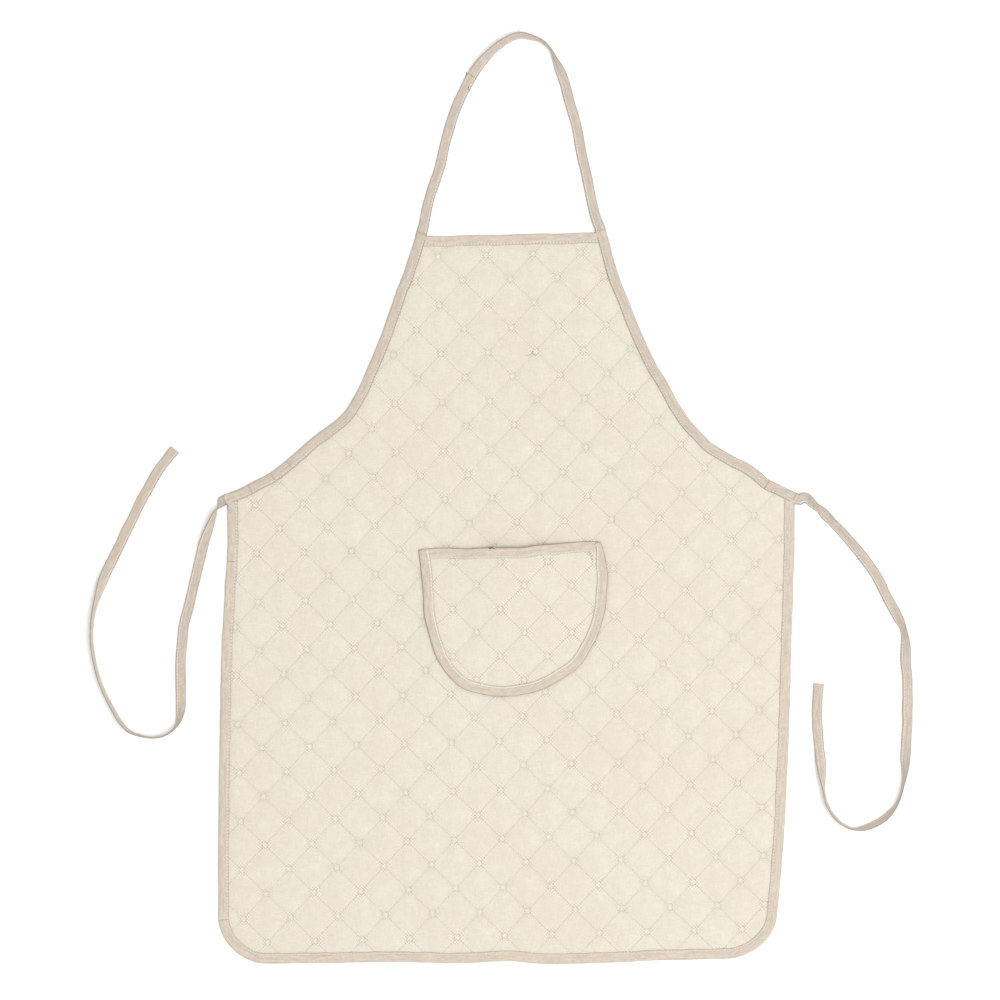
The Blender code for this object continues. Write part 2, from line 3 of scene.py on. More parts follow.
import bmesh
import bpy
import numpy as np
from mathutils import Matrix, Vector


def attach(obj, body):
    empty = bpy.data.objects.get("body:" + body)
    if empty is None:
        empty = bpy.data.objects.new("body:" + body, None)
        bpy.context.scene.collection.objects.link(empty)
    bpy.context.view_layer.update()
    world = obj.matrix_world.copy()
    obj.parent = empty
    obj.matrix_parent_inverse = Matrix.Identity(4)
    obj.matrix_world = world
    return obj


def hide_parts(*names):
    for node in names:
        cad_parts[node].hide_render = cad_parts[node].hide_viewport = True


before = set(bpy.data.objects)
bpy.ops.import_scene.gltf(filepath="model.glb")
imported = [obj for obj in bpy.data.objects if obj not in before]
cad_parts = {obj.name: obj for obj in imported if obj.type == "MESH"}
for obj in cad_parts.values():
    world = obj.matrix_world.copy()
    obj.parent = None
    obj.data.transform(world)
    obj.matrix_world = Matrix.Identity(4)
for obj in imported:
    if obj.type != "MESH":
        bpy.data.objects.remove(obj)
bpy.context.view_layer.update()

bpy.ops.object.select_all(action="DESELECT")
left, right = -1, 1

# The apron's cut, in metres. Its tables hold shares of these sizes, in thousandths
cut = {
    "length": 0.7995, "width": 0.630, "bibWidth": 0.209, "bibDepth": 0.285, "bibShift": 0.005, "bibDrop": 0.0046,
    "cornerLeft": 0.054, "cornerRight": 0.060, "sideLift": 0.0014, "hemWave": 0.006, "loopRise": 0.218,
    "outlineStep": 0.012,
}
hemY = -(cut["length"] + cut["loopRise"]) / 2
bibY = hemY + cut["length"]
sideY = bibY - cut["bibDepth"]

# Heights of the cloth's layers above the table
layers = {
    "bottom": 0.0013, "top": 0.0023, "puff": 0.0013, "stitched": 0.00015, "bindingWidth": 0.0114, "gap": 0.0003,
    "lowest": 0.00002,
}
clothMiddle = (layers["bottom"] + layers["top"]) / 2
sideColumn = {left: 1, right: 2}  # of the two tables that differ left and right


def shared(*rows):
    return np.array(rows) / 1000


# Share of the drop, then share of the flare on the left and on the right
armholeShares = shared(
    (0, 0, 0), (140, 59, 53), (260, 124, 115), (370, 172, 176), (490, 242, 252), (600, 307, 340), (680, 375, 403),
    (730, 450, 450), (765, 514, 496), (813, 594, 564), (859, 668, 668), (905, 743, 786), (928, 790, 826),
    (950, 848, 858), (973, 912, 922), (1000, 1000, 1000),
)
# Share of the way down the side, then of half the width on the left and on the right
sideShares = shared(
    (0, 967, 1000), (120, 966, 999), (250, 977, 994), (400, 988, 987), (550, 992, 981), (700, 996, 972),
    (850, 998, 960), (1000, 998, 941),
)
# Share of the hem's straight run, then of its wave
hemShares = shared(
    (0, 150), (110, 250), (290, 450), (430, 220), (520, 600), (610, 100), (750, 350), (880, 800), (1000, 1000),
)


def smoothPath(points, step):
    points = np.array(points, float)
    chord = np.diff(points, axis=0)
    length = np.linalg.norm(chord[:, :2], axis=1)[:, None]
    slope = chord / length
    tangent = np.empty_like(points)
    tangent[0], tangent[-1] = slope[0], slope[-1]
    tangent[1:-1] = (slope[:-1] * length[1:] + slope[1:] * length[:-1]) / (length[:-1] + length[1:])
    path = []
    for i in range(len(length)):
        count = max(1, round(length[i, 0] / step))
        for t in np.arange(count) / count:
            start = (2 * t**3 - 3 * t**2 + 1) * points[i] + (t**3 - 2 * t**2 + t) * length[i] * tangent[i]
            end = (3 * t**2 - 2 * t**3) * points[i + 1] + (t**3 - t**2) * length[i] * tangent[i + 1]
            path.append(start + end)
    return np.array(path + [points[-1]])


def distanceAlong(path):
    return np.concatenate([[0], np.cumsum(np.linalg.norm(np.diff(path, axis=0), axis=1))])


def resample(places, known, table):
    return np.column_stack([np.interp(places, known, column) for column in table.T])


def alongPath(path, places):
    return resample(places, distanceAlong(path), path)


def bibCorner(side):
    drop = cut["bibDrop"] if side == left else 0
    return np.array([cut["bibShift"] + side * cut["bibWidth"] / 2, bibY - drop])


def sideCorner(side):
    lift = cut["sideLift"] if side == right else 0
    return np.array([side * cut["width"] / 2 * sideShares[0][sideColumn[side]], sideY + lift])


def armholePath(side, step):
    top, bottom = bibCorner(side), sideCorner(side)
    return smoothPath([top + (bottom - top) * (row[sideColumn[side]], row[0]) for row in armholeShares], step)


def sidePath(side, step):
    low = hemY + cut["cornerLeft" if side == left else "cornerRight"]
    rows = [(side * cut["width"] / 2 * row[sideColumn[side]], sideY + (low - sideY) * row[0]) for row in sideShares]
    return smoothPath(rows, step)


def roundCorner(sideEnd, hemEnd):
    centre = np.array([hemEnd[0], sideEnd[1]])
    turns = np.linspace(0, math.pi / 2, 22)[1:-1]
    reach = np.array([sideEnd[0] - centre[0], hemEnd[1] - centre[1]])
    return np.array([centre + reach * (math.cos(t), math.sin(t)) for t in turns])


def skirtPath(step):
    leftSide, rightSide = sidePath(left, step), sidePath(right, step)
    start, end = leftSide[-1][0] + cut["cornerLeft"], rightSide[-1][0] - cut["cornerRight"]
    hem = smoothPath([(start + (end - start) * x, hemY + cut["hemWave"] * y) for x, y in hemShares], step)
    leftTurn = roundCorner(leftSide[-1], hem[0])
    rightTurn = roundCorner(rightSide[-1], hem[-1])[::-1]
    return np.vstack([leftSide, leftTurn, hem, rightTurn, rightSide[::-1]])


# The pocket: share of half its width, then share of its depth
pocketCut = {
    "width": 0.207, "depth": 0.171, "top": bibY - 0.3375, "shift": 0.0075, "gape": 0.0052, "band": 0.0225,
    "seat": 0.0027, "pressed": 0.8, "pressAt": 0.004, "pressWidth": 0.0075,
}
pocketCurveShares = shared(
    (917, 0), (955, 66), (980, 130), (995, 204), (984, 340), (966, 441), (931, 532), (842, 660), (751, 751),
    (645, 824), (525, 875), (404, 916), (269, 952), (117, 975), (-34, 989), (-245, 985), (-365, 970), (-487, 948),
    (-576, 920), (-652, 879), (-734, 815), (-803, 751), (-856, 660), (-901, 568), (-934, 477), (-956, 300),
    (-966, 204), (-981, 130), (-1000, 56),
)
pocketMouthShares = shared(
    (-1000, 56), (-893, 48), (-712, 41), (-487, 46), (-245, 41), (19, 40), (269, 24), (569, 10), (720, 1), (917, 0),
)


def pocketPath(shares, step):
    rows = []
    for across, drop in shares:
        x = pocketCut["shift"] + pocketCut["width"] / 2 * across
        rows.append((x, pocketCut["top"] - pocketCut["depth"] * drop))
    return smoothPath(rows, step)


def wander(places, wavelength, seed):
    # Gentle wavering from -1 to 1 along a length
    rng = np.random.default_rng(seed)
    total = np.zeros(len(places))
    for scale, phase, weight in zip(rng.uniform(0.6, 1.8, 6), rng.uniform(0, 6.28, 6), rng.uniform(0.5, 1, 6)):
        total += weight * np.sin(2 * math.pi * places / (wavelength * scale) + phase)
    return total / 2.6


def ripple(x, y, wavelength, seed, waves=14):
    # The same over a surface
    rng = np.random.default_rng(seed)
    total = np.zeros(np.shape(x))
    for _ in range(waves):
        angle, scale, phase = rng.uniform(0, 6.28), rng.uniform(0.65, 1.6), rng.uniform(0, 6.28)
        total += np.sin(6.28 * (x * math.cos(angle) + y * math.sin(angle)) / (wavelength * scale) + phase)
    return total / math.sqrt(waves)


def fade(value):
    value = np.clip(value, 0, 1)
    return value * value * (3 - 2 * value)


def insetOf(x, y, outline):
    # Distance inside a closed outline, negative outside it
    points = np.column_stack([np.ravel(x), np.ravel(y)])
    found = np.full(len(points), 1e9)
    crossings = np.zeros(len(points), int)
    for start, end in zip(outline, np.roll(outline, -1, axis=0)):
        run = end - start
        if not run.any():
            continue
        share = np.clip((points - start) @ run / (run @ run), 0, 1)
        found = np.minimum(found, np.linalg.norm(start + share[:, None] * run - points, axis=1))
        rises = (start[1] > points[:, 1]) != (end[1] > points[:, 1])
        with np.errstate(divide="ignore", invalid="ignore"):
            meets = start[0] + (points[:, 1] - start[1]) * run[0] / run[1]
        crossings += rises & (points[:, 0] < meets)
    return np.where(crossings % 2 == 1, found, -found).reshape(np.shape(x))


def newGroup(name, inputs, outputs):
    group = bpy.data.node_groups.new(name, "ShaderNodeTree")
    for socket, value in inputs.items():
        kind = "NodeSocketVector" if value is None else "NodeSocketFloat"
        made = group.interface.new_socket(socket, in_out="INPUT", socket_type=kind)
        if value is not None:
            made.default_value = value
    for socket in outputs:
        group.interface.new_socket(socket, in_out="OUTPUT", socket_type="NodeSocketFloat")
    return group, group.nodes.new("NodeGroupInput").outputs, group.nodes.new("NodeGroupOutput").inputs


def feed(socket, value):
    if isinstance(value, bpy.types.NodeSocket):
        socket.id_data.links.new(value, socket)
    else:
        socket.default_value = value


def nodeFor(kind, *values):
    # A node beside whatever feeds it, with its first inputs filled
    tree = next(value.id_data for value in values if isinstance(value, bpy.types.NodeSocket))
    node = tree.nodes.new("ShaderNode" + kind)
    for socket, value in zip(node.inputs, values):
        feed(socket, value)
    return node


def maths(operation, *values):
    node = nodeFor("Math", *values)
    node.operation = operation
    return node.outputs[0]


def times(first, second):
    return maths("MULTIPLY", first, second)


def highest(values):
    found = values[0]
    for value in values[1:]:
        found = maths("MAXIMUM", found, value)
    return found


def ramp(value, low, high, outLow=0.0, outHigh=1.0):
    node = nodeFor("MapRange", value, low, high, outLow, outHigh)
    node.interpolation_type = "SMOOTHSTEP"
    return node.outputs["Result"]


def noise(vector, scale, detail=2.0, roughness=0.5, stretch=(1, 1, 1)):
    mapping = nodeFor("Mapping", vector)
    mapping.inputs["Scale"].default_value = stretch
    node = nodeFor("TexNoise", mapping.outputs["Vector"])
    for name, value in (("Scale", scale), ("Detail", detail), ("Roughness", roughness)):
        node.inputs[name].default_value = value
    return node.outputs["Fac"]


def split(vector):
    return nodeFor("SeparateXYZ", vector).outputs[:]


def mixColour(factor, first, second):
    node = nodeFor("Mix", factor)
    node.data_type = "RGBA"
    for socket, value in ((node.inputs[6], first), (node.inputs[7], second)):
        feed(socket, (*value, 1) if isinstance(value, tuple) else value)
    return node.outputs[2]


def addGroup(tree, group, **values):
    node = tree.nodes.new("ShaderNodeGroup")
    node.node_tree = group
    for name, value in values.items():
        feed(node.inputs[name], value)
    return node.outputs


def makeWeaveGroup():
    # Plain weave: a crown where each thread passes over, and slubs along both threads
    group, given, out = newGroup(
        "plain weave", {"Vector": None, "Pitch": 0.0005, "Slub": 1.0}, ("Height", "Shade", "Streak")
    )
    vector = given["Vector"]
    x, y, _ = split(vector)
    turns = maths("DIVIDE", math.pi, given["Pitch"])
    over = times(maths("SINE", times(x, turns)), maths("SINE", times(y, turns)))
    crown = maths("SQRT", maths("ABSOLUTE", over))
    across, down = (noise(vector, 1.0, 2.0, 0.55, stretch) for stretch in ((70, 1100, 1), (1100, 70, 1)))
    slubs = maths("ADD", across, down)
    feed(out["Height"], maths("ADD", crown, times(slubs, given["Slub"])))
    feed(out["Shade"], maths("MULTIPLY_ADD", over, 0.5, 0.5))
    feed(out["Streak"], maths("SUBTRACT", slubs, 1.0))
    return group


def makeQuiltGroup():
    # Where the quilting's stitches enter the cloth, from lattice coordinates: stitching runs along whole numbers
    group, given, out = newGroup(
        "quilting marks", {"Lattice": None, "Side": 0.0371, "Pitch": 0.0021, "Ring": 0.0033},
        ("Holes", "Groove", "Centre", "Gathers"),
    )
    p, q, _ = split(given["Lattice"])
    side, ring = given["Side"], given["Ring"]
    away = [times(maths("SUBTRACT", place, maths("ROUND", place)), side) for place in (p, q)]
    fromCrossing = maths("SQRT", maths("ADD", *[maths("POWER", distance, 2.0) for distance in away]))
    wobble = noise(given["Lattice"], 9.0, 2.0, 0.6)
    spread = ramp(fromCrossing, 0.004, 0.014, 0.0145, 0.0062)  # gathers reach furthest near a crossing
    holes, grooves, gathers = [], [], []
    for distance, along in ((away[0], q), (away[1], p)):
        off = maths("ABSOLUTE", distance)
        turns = times(maths("DIVIDE", times(along, side), given["Pitch"]), 2 * math.pi)
        dots = ramp(maths("COSINE", turns), -0.2, -0.8)
        holes.append(times(ramp(off, 0.00015, 0.00062, 1.0, 0.0), dots))
        grooves.append(ramp(off, 0.0, 0.0016, 1.0, 0.0))
        uneven = maths("COSINE", maths("MULTIPLY_ADD", wobble, 4.0, turns))
        gathers.append(times(uneven, ramp(off, 0.0, spread, 1.0, 0.0)))
    lines = times(highest(holes), maths("GREATER_THAN", fromCrossing, ring))
    angle = times(maths("ARCTAN2", away[1], away[0]), 9.0)
    ringDots = ramp(maths("COSINE", angle), -0.2, -0.8, 0.0, 0.6)
    offRing = maths("ABSOLUTE", maths("SUBTRACT", fromCrossing, ring))
    ringHoles = times(ramp(offRing, 0.00015, 0.0006, 1.0, 0.0), ringDots)
    feed(out["Holes"], highest([lines, ringHoles]))
    feed(out["Groove"], highest(grooves))
    feed(out["Centre"], ramp(fromCrossing, 0.0010, 0.0024, 1.0, 0.0))
    pull = ramp(fromCrossing, 0.004, 0.012, 1.15, 0.60)
    feed(out["Gathers"], times(maths("ADD", *gathers), pull))
    return group


weaveGroup = makeWeaveGroup()
quiltGroup = makeQuiltGroup()


def newMaterial(name, constants):
    material = bpy.data.materials.new(name)
    material.use_nodes = True
    sockets = material.node_tree.nodes["Principled BSDF"].inputs
    for socket, value in constants.items():
        sockets[socket].default_value = value
    return material, material.node_tree, sockets


def bumpFrom(height, distance, strength, normal=None):
    bump = height.id_data.nodes.new("ShaderNodeBump")
    for name, value in (("Strength", strength), ("Distance", distance), ("Height", height), ("Normal", normal)):
        if value is not None:
            feed(bump.inputs[name], value)
    return bump.outputs["Normal"]


# The last of these colours is painted shade, for the hollows of the gathers and along the stitched grooves; pale is
# partly the cloth's own paler tone and partly painted light on the gathers' crests
quiltFinish = {
    # The colour for the needle holes is painted shade, the shade in the dimples where the stitches sink
    "cream": (0.700, 0.652, 0.556), "shaded": (0.590, 0.528, 0.425), "warm": (0.690, 0.632, 0.530),
    "pale": (0.790, 0.752, 0.672), "paintedHoleShade": (0.470, 0.340, 0.205), "paintedShade": (0.620, 0.538, 0.412), "pitch": 0.00052,
    "stitches": 14, "ring": 0.0034,
    "constants": {"Sheen Weight": 0.10, "Sheen Roughness": 0.5, "Specular IOR Level": 0.2},
}


def makeCotton(name, side, holeStrength):
    material, tree, sockets = newMaterial(name, quiltFinish["constants"])
    place = tree.nodes.new("ShaderNodeTexCoord").outputs["Object"]
    lattice = tree.nodes.new("ShaderNodeUVMap")
    lattice.uv_map = "lattice"
    weave = addGroup(tree, weaveGroup, Vector=place, Pitch=quiltFinish["pitch"], Slub=0.8)
    pitch = side / quiltFinish["stitches"]
    marks = addGroup(
        tree, quiltGroup, Lattice=lattice.outputs["UV"], Side=side, Pitch=pitch, Ring=quiltFinish["ring"]
    )
    patches = noise(place, 60.0, 3.0, 0.6)
    grain = noise(place, 430.0, 2.0, 0.7)
    uneven = ramp(noise(place, 17.0), 0.38, 0.64, holeStrength * 0.15, holeStrength)
    # Painted light and shade of the gathers: painted shade on one side of each pucker, painted light on the other
    paintedGatherShading = times(marks["Gathers"], times(uneven, 1.15))
    colour = mixColour(ramp(noise(place, 9.0, 3.0, 0.55), 0.35, 0.68), quiltFinish["cream"], quiltFinish["warm"])
    for factor, shade in (
        (ramp(patches, 0.42, 0.75, 0.0, 0.30), "pale"),
        (ramp(weave["Streak"], -0.26, 0.20, 0.34, 0.0), "shaded"),
        (ramp(grain, 0.30, 0.50, 0.22, 0.0), "shaded"),
        (ramp(grain, 0.52, 0.70, 0.0, 0.25), "pale"),
        (times(weave["Shade"], 0.10), "shaded"),
        # Painted shade in the gathers' hollows, painted highlight on their crests, then painted shade along the
        # stitched grooves
        (ramp(paintedGatherShading, -0.55, 0.0, 0.75, 0.0), "paintedShade"),
        (ramp(paintedGatherShading, 0.0, 0.50, 0.0, 1.0), "pale"),
        (times(marks["Groove"], 0.05), "paintedShade"),
        (times(marks["Centre"], 0.55), "pale"),
        # Painted shade in the needle holes, stronger or fainter at random
        (times(marks["Holes"], uneven), "paintedHoleShade"),
    ):
        colour = mixColour(factor, colour, quiltFinish[shade])
    feed(sockets["Base Color"], colour)
    rough = ramp(patches, 0.3, 0.7, 0.86, 0.96)
    feed(sockets["Roughness"], maths("SUBTRACT", rough, times(weave["Shade"], 0.05)))
    creases = maths("MULTIPLY_ADD", marks["Gathers"], 0.30, noise(place, 210.0, 3.0, 0.6))
    sunk = bumpFrom(maths("SUBTRACT", 1.0, marks["Holes"]), 0.0004, 0.8, bumpFrom(creases, 0.0008, 0.7))
    feed(sockets["Normal"], bumpFrom(weave["Height"], 0.00012, 0.7, sunk))
    return material


tapeShades = {
    "beige": (0.602, 0.521, 0.423), "shaded": (0.470, 0.392, 0.307), "pale": (0.690, 0.628, 0.540),
    # The edge colour is painted shade: dark lines along the tape's folds and where its edges meet the cloth
    "pink": (0.632, 0.517, 0.430), "grey": (0.562, 0.520, 0.442), "edge": (0.325, 0.235, 0.162),
    # The needle holes' colour is painted shade in the stitch holes
    "paintedHoleShade": (0.230, 0.170, 0.115),
}
# foldAt, stitchAt and innerEdges are places across the tape, in metres
tapeFinish = {
    "pitch": 0.00036, "stitchPitch": 0.0036, "innerEdges": (), "innerShade": 0, "holeShade": 0.3, "palePull": 0.35,
    "seamShade": 0.75, "tone": (1, 1, 1),
    "constants": {"Sheen Weight": 0.08, "Sheen Roughness": 0.5, "Specular IOR Level": 0.25},
}


def makeTape(name, **changes):
    look = dict(tapeFinish, **changes)
    material, tree, sockets = newMaterial(name, look["constants"])
    shades = {key: tuple(a * b for a, b in zip(value, look["tone"])) for key, value in tapeShades.items()}
    uvMap = tree.nodes.new("ShaderNodeUVMap")  # along and across the tape, in metres
    uvMap.uv_map = "tape"
    place = uvMap.outputs["UV"]
    bias = nodeFor("Mapping", place)  # bias tape is cut at 45 degrees to the threads
    bias.inputs["Rotation"].default_value = (0, 0, math.radians(45))
    weave = addGroup(tree, weaveGroup, Vector=bias.outputs["Vector"], Pitch=look["pitch"], Slub=0.5)
    seam = tree.nodes.new("ShaderNodeAttribute")
    seam.attribute_name = "seam"
    along, across, _ = split(place)
    tint = noise(place, 75.0, 2.0, 0.6, (0.6, 1, 1))
    fine = noise(place, 420.0, 2.0, 0.65, (0.35, 1, 1))
    # Painted shade and painted light for creases along the tape, as darker and lighter streaks
    runs = noise(place, 520.0, 2.0, 0.6, (0.06, 1, 1))  # creases along the tape

    def offFrom(spot):
        return maths("ABSOLUTE", maths("SUBTRACT", across, spot))

    # Painted shade along the folds and the inner edges, where the tape turns down and meets the cloth; the seams take
    # the same dark colour
    edges = [(spot, look["edgeShade"]) for spot in look["foldAt"]]
    edges += [(spot, look["innerShade"]) for spot in look["innerEdges"]]
    lines = [ramp(offFrom(spot), 0.0005, 0.0016, shade, 0.0) for spot, shade in edges]
    lines.append(times(seam.outputs["Fac"], look["seamShade"]))
    dots = ramp(maths("COSINE", times(along, 2 * math.pi / look["stitchPitch"])), -0.3, -0.85)
    rows = [offFrom(spot) for spot in look["stitchAt"]]
    # Painted shade in the tape's needle holes
    holes = times(highest([times(ramp(off, 0.00025, 0.00065, 1.0, 0.0), dots) for off in rows]), look["holeShade"])
    grooves = times(highest([ramp(off, 0.0003, 0.0013, 1.0, 0.0) for off in rows]), look["palePull"])
    colour = mixColour(ramp(tint, 0.40, 0.62), shades["grey"], shades["pink"])
    for factor, shade in (
        (ramp(noise(place, 30.0, 3.0, 0.55), 0.35, 0.7, 0.1, 0.6), "beige"),
        (ramp(weave["Streak"], -0.26, 0.22, 0.45, 0.0), "shaded"),
        (ramp(fine, 0.30, 0.50, 0.52, 0.0), "shaded"),
        (ramp(fine, 0.52, 0.72, 0.0, 0.55), "pale"),
        # Painted shade and painted light of the creases
        (ramp(runs, 0.34, 0.50, 0.40, 0.0), "shaded"),
        (ramp(runs, 0.52, 0.66, 0.0, 0.35), "pale"),
        (grooves, "pale"), (highest(lines), "edge"), (holes, "paintedHoleShade"),
    ):
        colour = mixColour(factor, colour, shades[shade])
    feed(sockets["Base Color"], colour)
    feed(sockets["Roughness"], ramp(fine, 0.3, 0.7, 0.80, 0.92))
    feed(sockets["Normal"], bumpFrom(weave["Height"], 0.00009, 0.7, bumpFrom(fine, 0.0006, 0.5)))
    return material


def makeThread(name, colour, dark):
    material, tree, sockets = newMaterial(name, {"Sheen Weight": 0.2})
    twist = noise(tree.nodes.new("ShaderNodeTexCoord").outputs["Object"], 2600.0, 1.0)
    feed(sockets["Base Color"], mixColour(ramp(twist, 0.4, 0.7), colour, dark))
    feed(sockets["Roughness"], ramp(twist, 0.3, 0.7, 0.62, 0.82))
    feed(sockets["Normal"], bumpFrom(twist, 0.0001, 0.6))
    return material


print("weave and quilting effects made")


def finishMesh(name, points, faces, material):
    mesh = bpy.data.meshes.new(name)
    mesh.from_pydata(points.tolist(), [], faces)
    mesh.validate()
    obj = bpy.data.objects.new(name, mesh)
    bpy.context.scene.collection.objects.link(obj)
    mesh.materials.append(material)
    mesh.polygons.foreach_set("use_smooth", [True] * len(mesh.polygons))
    return obj


def outward(obj):
    work = bmesh.new()
    work.from_mesh(obj.data)
    bmesh.ops.recalc_face_normals(work, faces=work.faces)
    work.to_mesh(obj.data)
    work.free()


def setUv(obj, name, places):
    layer = obj.data.uv_layers[0] if obj.data.uv_layers else obj.data.uv_layers.new()
    layer.name = name
    loops = np.empty(len(obj.data.loops), np.int32)
    obj.data.loops.foreach_get("vertex_index", loops)
    layer.data.foreach_set("uv", places[loops].astype(np.float32).ravel())


def sweep(name, rings, profile, material, seam):
    # A grid is folded round the rings until its long edges meet, and its ends are filled.
    # Its UV map holds the distance along and across, in metres
    count, around = rings.shape[:2]
    bpy.ops.object.select_all(action="DESELECT")
    bpy.ops.mesh.primitive_grid_add(x_subdivisions=around, y_subdivisions=count - 1, size=1, location=(0, 0, 0))
    obj = bpy.context.object
    obj.name = obj.data.name = name
    folded = np.concatenate([rings, rings[:, :1]], axis=1)
    obj.data.vertices.foreach_set("co", folded.astype(np.float32).ravel())
    along, across = distanceAlong(rings.mean(axis=1)), distanceAlong(profile)
    across = np.append(across, across[-1] + np.linalg.norm(rings[0, 0] - rings[0, -1]))
    setUv(obj, "tape", np.stack(np.meshgrid(along, across, indexing="ij"), axis=-1).reshape(-1, 2))
    shade = obj.data.attributes.new("seam", "FLOAT", "POINT")
    shade.data.foreach_set("value", np.repeat(seam, around + 1).astype(np.float32))
    bpy.ops.object.mode_set(mode="EDIT")
    bpy.ops.mesh.select_all(action="SELECT")
    bpy.ops.mesh.remove_doubles(threshold=0.000001)
    bpy.ops.mesh.fill_holes(sides=0)
    bpy.ops.mesh.select_all(action="SELECT")
    bpy.ops.mesh.normals_make_consistent(inside=False)
    bpy.ops.object.mode_set(mode="OBJECT")
    obj.data.materials.append(material)
    obj.data.polygons.foreach_set("use_smooth", [True] * len(obj.data.polygons))
    return obj


def unit(vectors):
    return vectors / np.linalg.norm(vectors, axis=1)[:, None]


def toTheRight(path):
    # Unit vectors to a path's right
    along = unit(np.gradient(path, axis=0))
    return np.column_stack([along[:, 1], -along[:, 0]])


def rightOf(path, even, places):
    # The same at other places than the path's own even ones
    return unit(resample(places, even, toTheRight(path)))


def threadRuns(name, middles, runs, ups, size, material):
    # One low-sided bead of thread at each place, in one mesh. size is (length, width, height)
    template, faces = bead
    runs = unit(runs)
    sides = unit(np.cross(ups, runs))
    scaled = template * np.array(size) / 2
    points = middles[:, None] + scaled[None, :, :1] * runs[:, None] + scaled[None, :, 1:2] * sides[:, None]
    points = points + scaled[None, :, 2:] * np.cross(runs, sides)[:, None]
    points[..., 2] = np.maximum(points[..., 2], layers["lowest"])  # the lowest threads are pressed flat
    count = len(template)
    allFaces = [[v + n * count for v in face] for n in range(len(middles)) for face in faces]
    return finishMesh(name, points.reshape(-1, 3), allFaces, material)


def topstitch(name, rings, places, spots, rows, size, material):
    # Stitches on both faces of a tape. A row is its place round the tape, which way is up, and how high it lies
    middles, runs, ups = [], [], []
    for column, up, height in rows:
        here = resample(spots, places, rings[:, column])
        middles.append(here + up * height)
        runs.append(resample(spots + 0.0005, places, rings[:, column]) - here)
        ups.append(up)
    return threadRuns(name, np.vstack(middles), np.vstack(runs), np.vstack(ups), size, material)


def beadShape():
    # A short length of thread with pointed ends, along x
    bpy.ops.object.select_all(action="DESELECT")
    bpy.ops.mesh.primitive_cylinder_add(
        vertices=4, radius=1, depth=1.24, end_fill_type="TRIFAN", location=(0, 0, 0), rotation=(0, math.pi / 2, 0)
    )
    bpy.ops.object.transform_apply(location=False, rotation=True, scale=False)
    shape = bpy.context.object
    for vertex in shape.data.vertices:
        if math.hypot(vertex.co.y, vertex.co.z) < 0.5:
            vertex.co.x = math.copysign(1, vertex.co.x)
    points = np.array([tuple(vertex.co) for vertex in shape.data.vertices])
    faces = [list(polygon.vertices) for polygon in shape.data.polygons]
    bpy.data.objects.remove(shape)
    return points, faces


bead = beadShape()


def dress(obj, node, replaces=True):
    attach(obj, "root")
    if replaces:
        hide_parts(node)
    return obj


quilt = {
    "across": 0.0518, "down": 0.0531, "turn": math.radians(1.6), "crossing": (0.1150, -0.0226),
    "cells": 7, "pillow": 0.85, "reach": 0.0016, "bowl": 0.006, "ringRadius": 0.0033, "ringStitches": 9, "seed": 5,
    "puckers": 0.00016, "puckerLength": 0.011, "puckerReach": 0.005, "rolls": 0.00010, "rollLength": 0.045,
    "back": 0.9,
}
pocketQuilt = dict(quilt, down=0.0516, turn=0.0, crossing=(-0.0066, -0.1204), seed=11, puckers=0.00012, back=0.2)
# Stitches a diamond's side, then sizes in metres
stitch = {
    "perSide": 14, "length": 0.00165, "width": 0.00055, "height": 0.00040, "above": 0.00008, "clear": 0.0005,
    "ringClear": 0.0006, "crooked": 0.07,
}
# How the padding is simulated: Blender's own names for the cloth's settings
padding = {
    "quality": 4, "mass": 0.15, "tension_stiffness": 12, "compression_stiffness": 12, "shear_stiffness": 4,
    "bending_stiffness": 0.3, "vertex_group_mass": "held", "use_pressure": True, "uniform_pressure_force": 4,
    "shrink_min": -0.012,
}
paddingFrames, paddingStart, paddingShare = 20, 0.35, 0.55


def latticeToPlace(settings, p, q):
    x = settings["across"] / 2 * (p + q)
    y = settings["down"] / 2 * (p - q)
    c, s = math.cos(settings["turn"]), math.sin(settings["turn"])
    return settings["crossing"][0] + c * x - s * y, settings["crossing"][1] + s * x + c * y


def placeToLattice(settings, x, y):
    c, s = math.cos(settings["turn"]), math.sin(settings["turn"])
    dx, dy = x - settings["crossing"][0], y - settings["crossing"][1]
    x, y = (c * dx + s * dy) / settings["across"], (-s * dx + c * dy) / settings["down"]
    return x + y, x - y


def diamondSide(settings):
    return math.hypot(settings["across"], settings["down"]) / 2


def puffShares(settings, p, q, inset):
    # 0 along the stitching and the bindings, 1 in the middle of a diamond
    dome = np.abs(np.sin(math.pi * p) * np.sin(math.pi * q)) ** settings["pillow"]
    fullness = np.random.default_rng(settings["seed"]).uniform(0.78, 1.0, (64, 64))
    fullness = fullness[np.floor(p).astype(int) % 64, np.floor(q).astype(int) % 64]
    return dome * fullness * fade((inset - layers["bindingWidth"]) / settings["bowl"])


def touching(square):
    # The points of a grid that the kept squares use
    used = np.zeros((square.shape[0] + 1, square.shape[1] + 1), bool)
    for down, along in ((0, 0), (1, 0), (0, 1), (1, 1)):
        used[down : square.shape[0] + down, along : square.shape[1] + along] |= square
    return used


def numbered(used, start=0):
    index = np.full(used.shape, -1)
    index[used] = np.arange(used.sum()) + start
    return index


def quads(index, square):
    i, j = np.nonzero(square)
    return np.column_stack([index[i, j], index[i, j + 1], index[i + 1, j + 1], index[i + 1, j]])


def rowsOf(used, *grids):
    return np.column_stack([grid[used] for grid in grids])


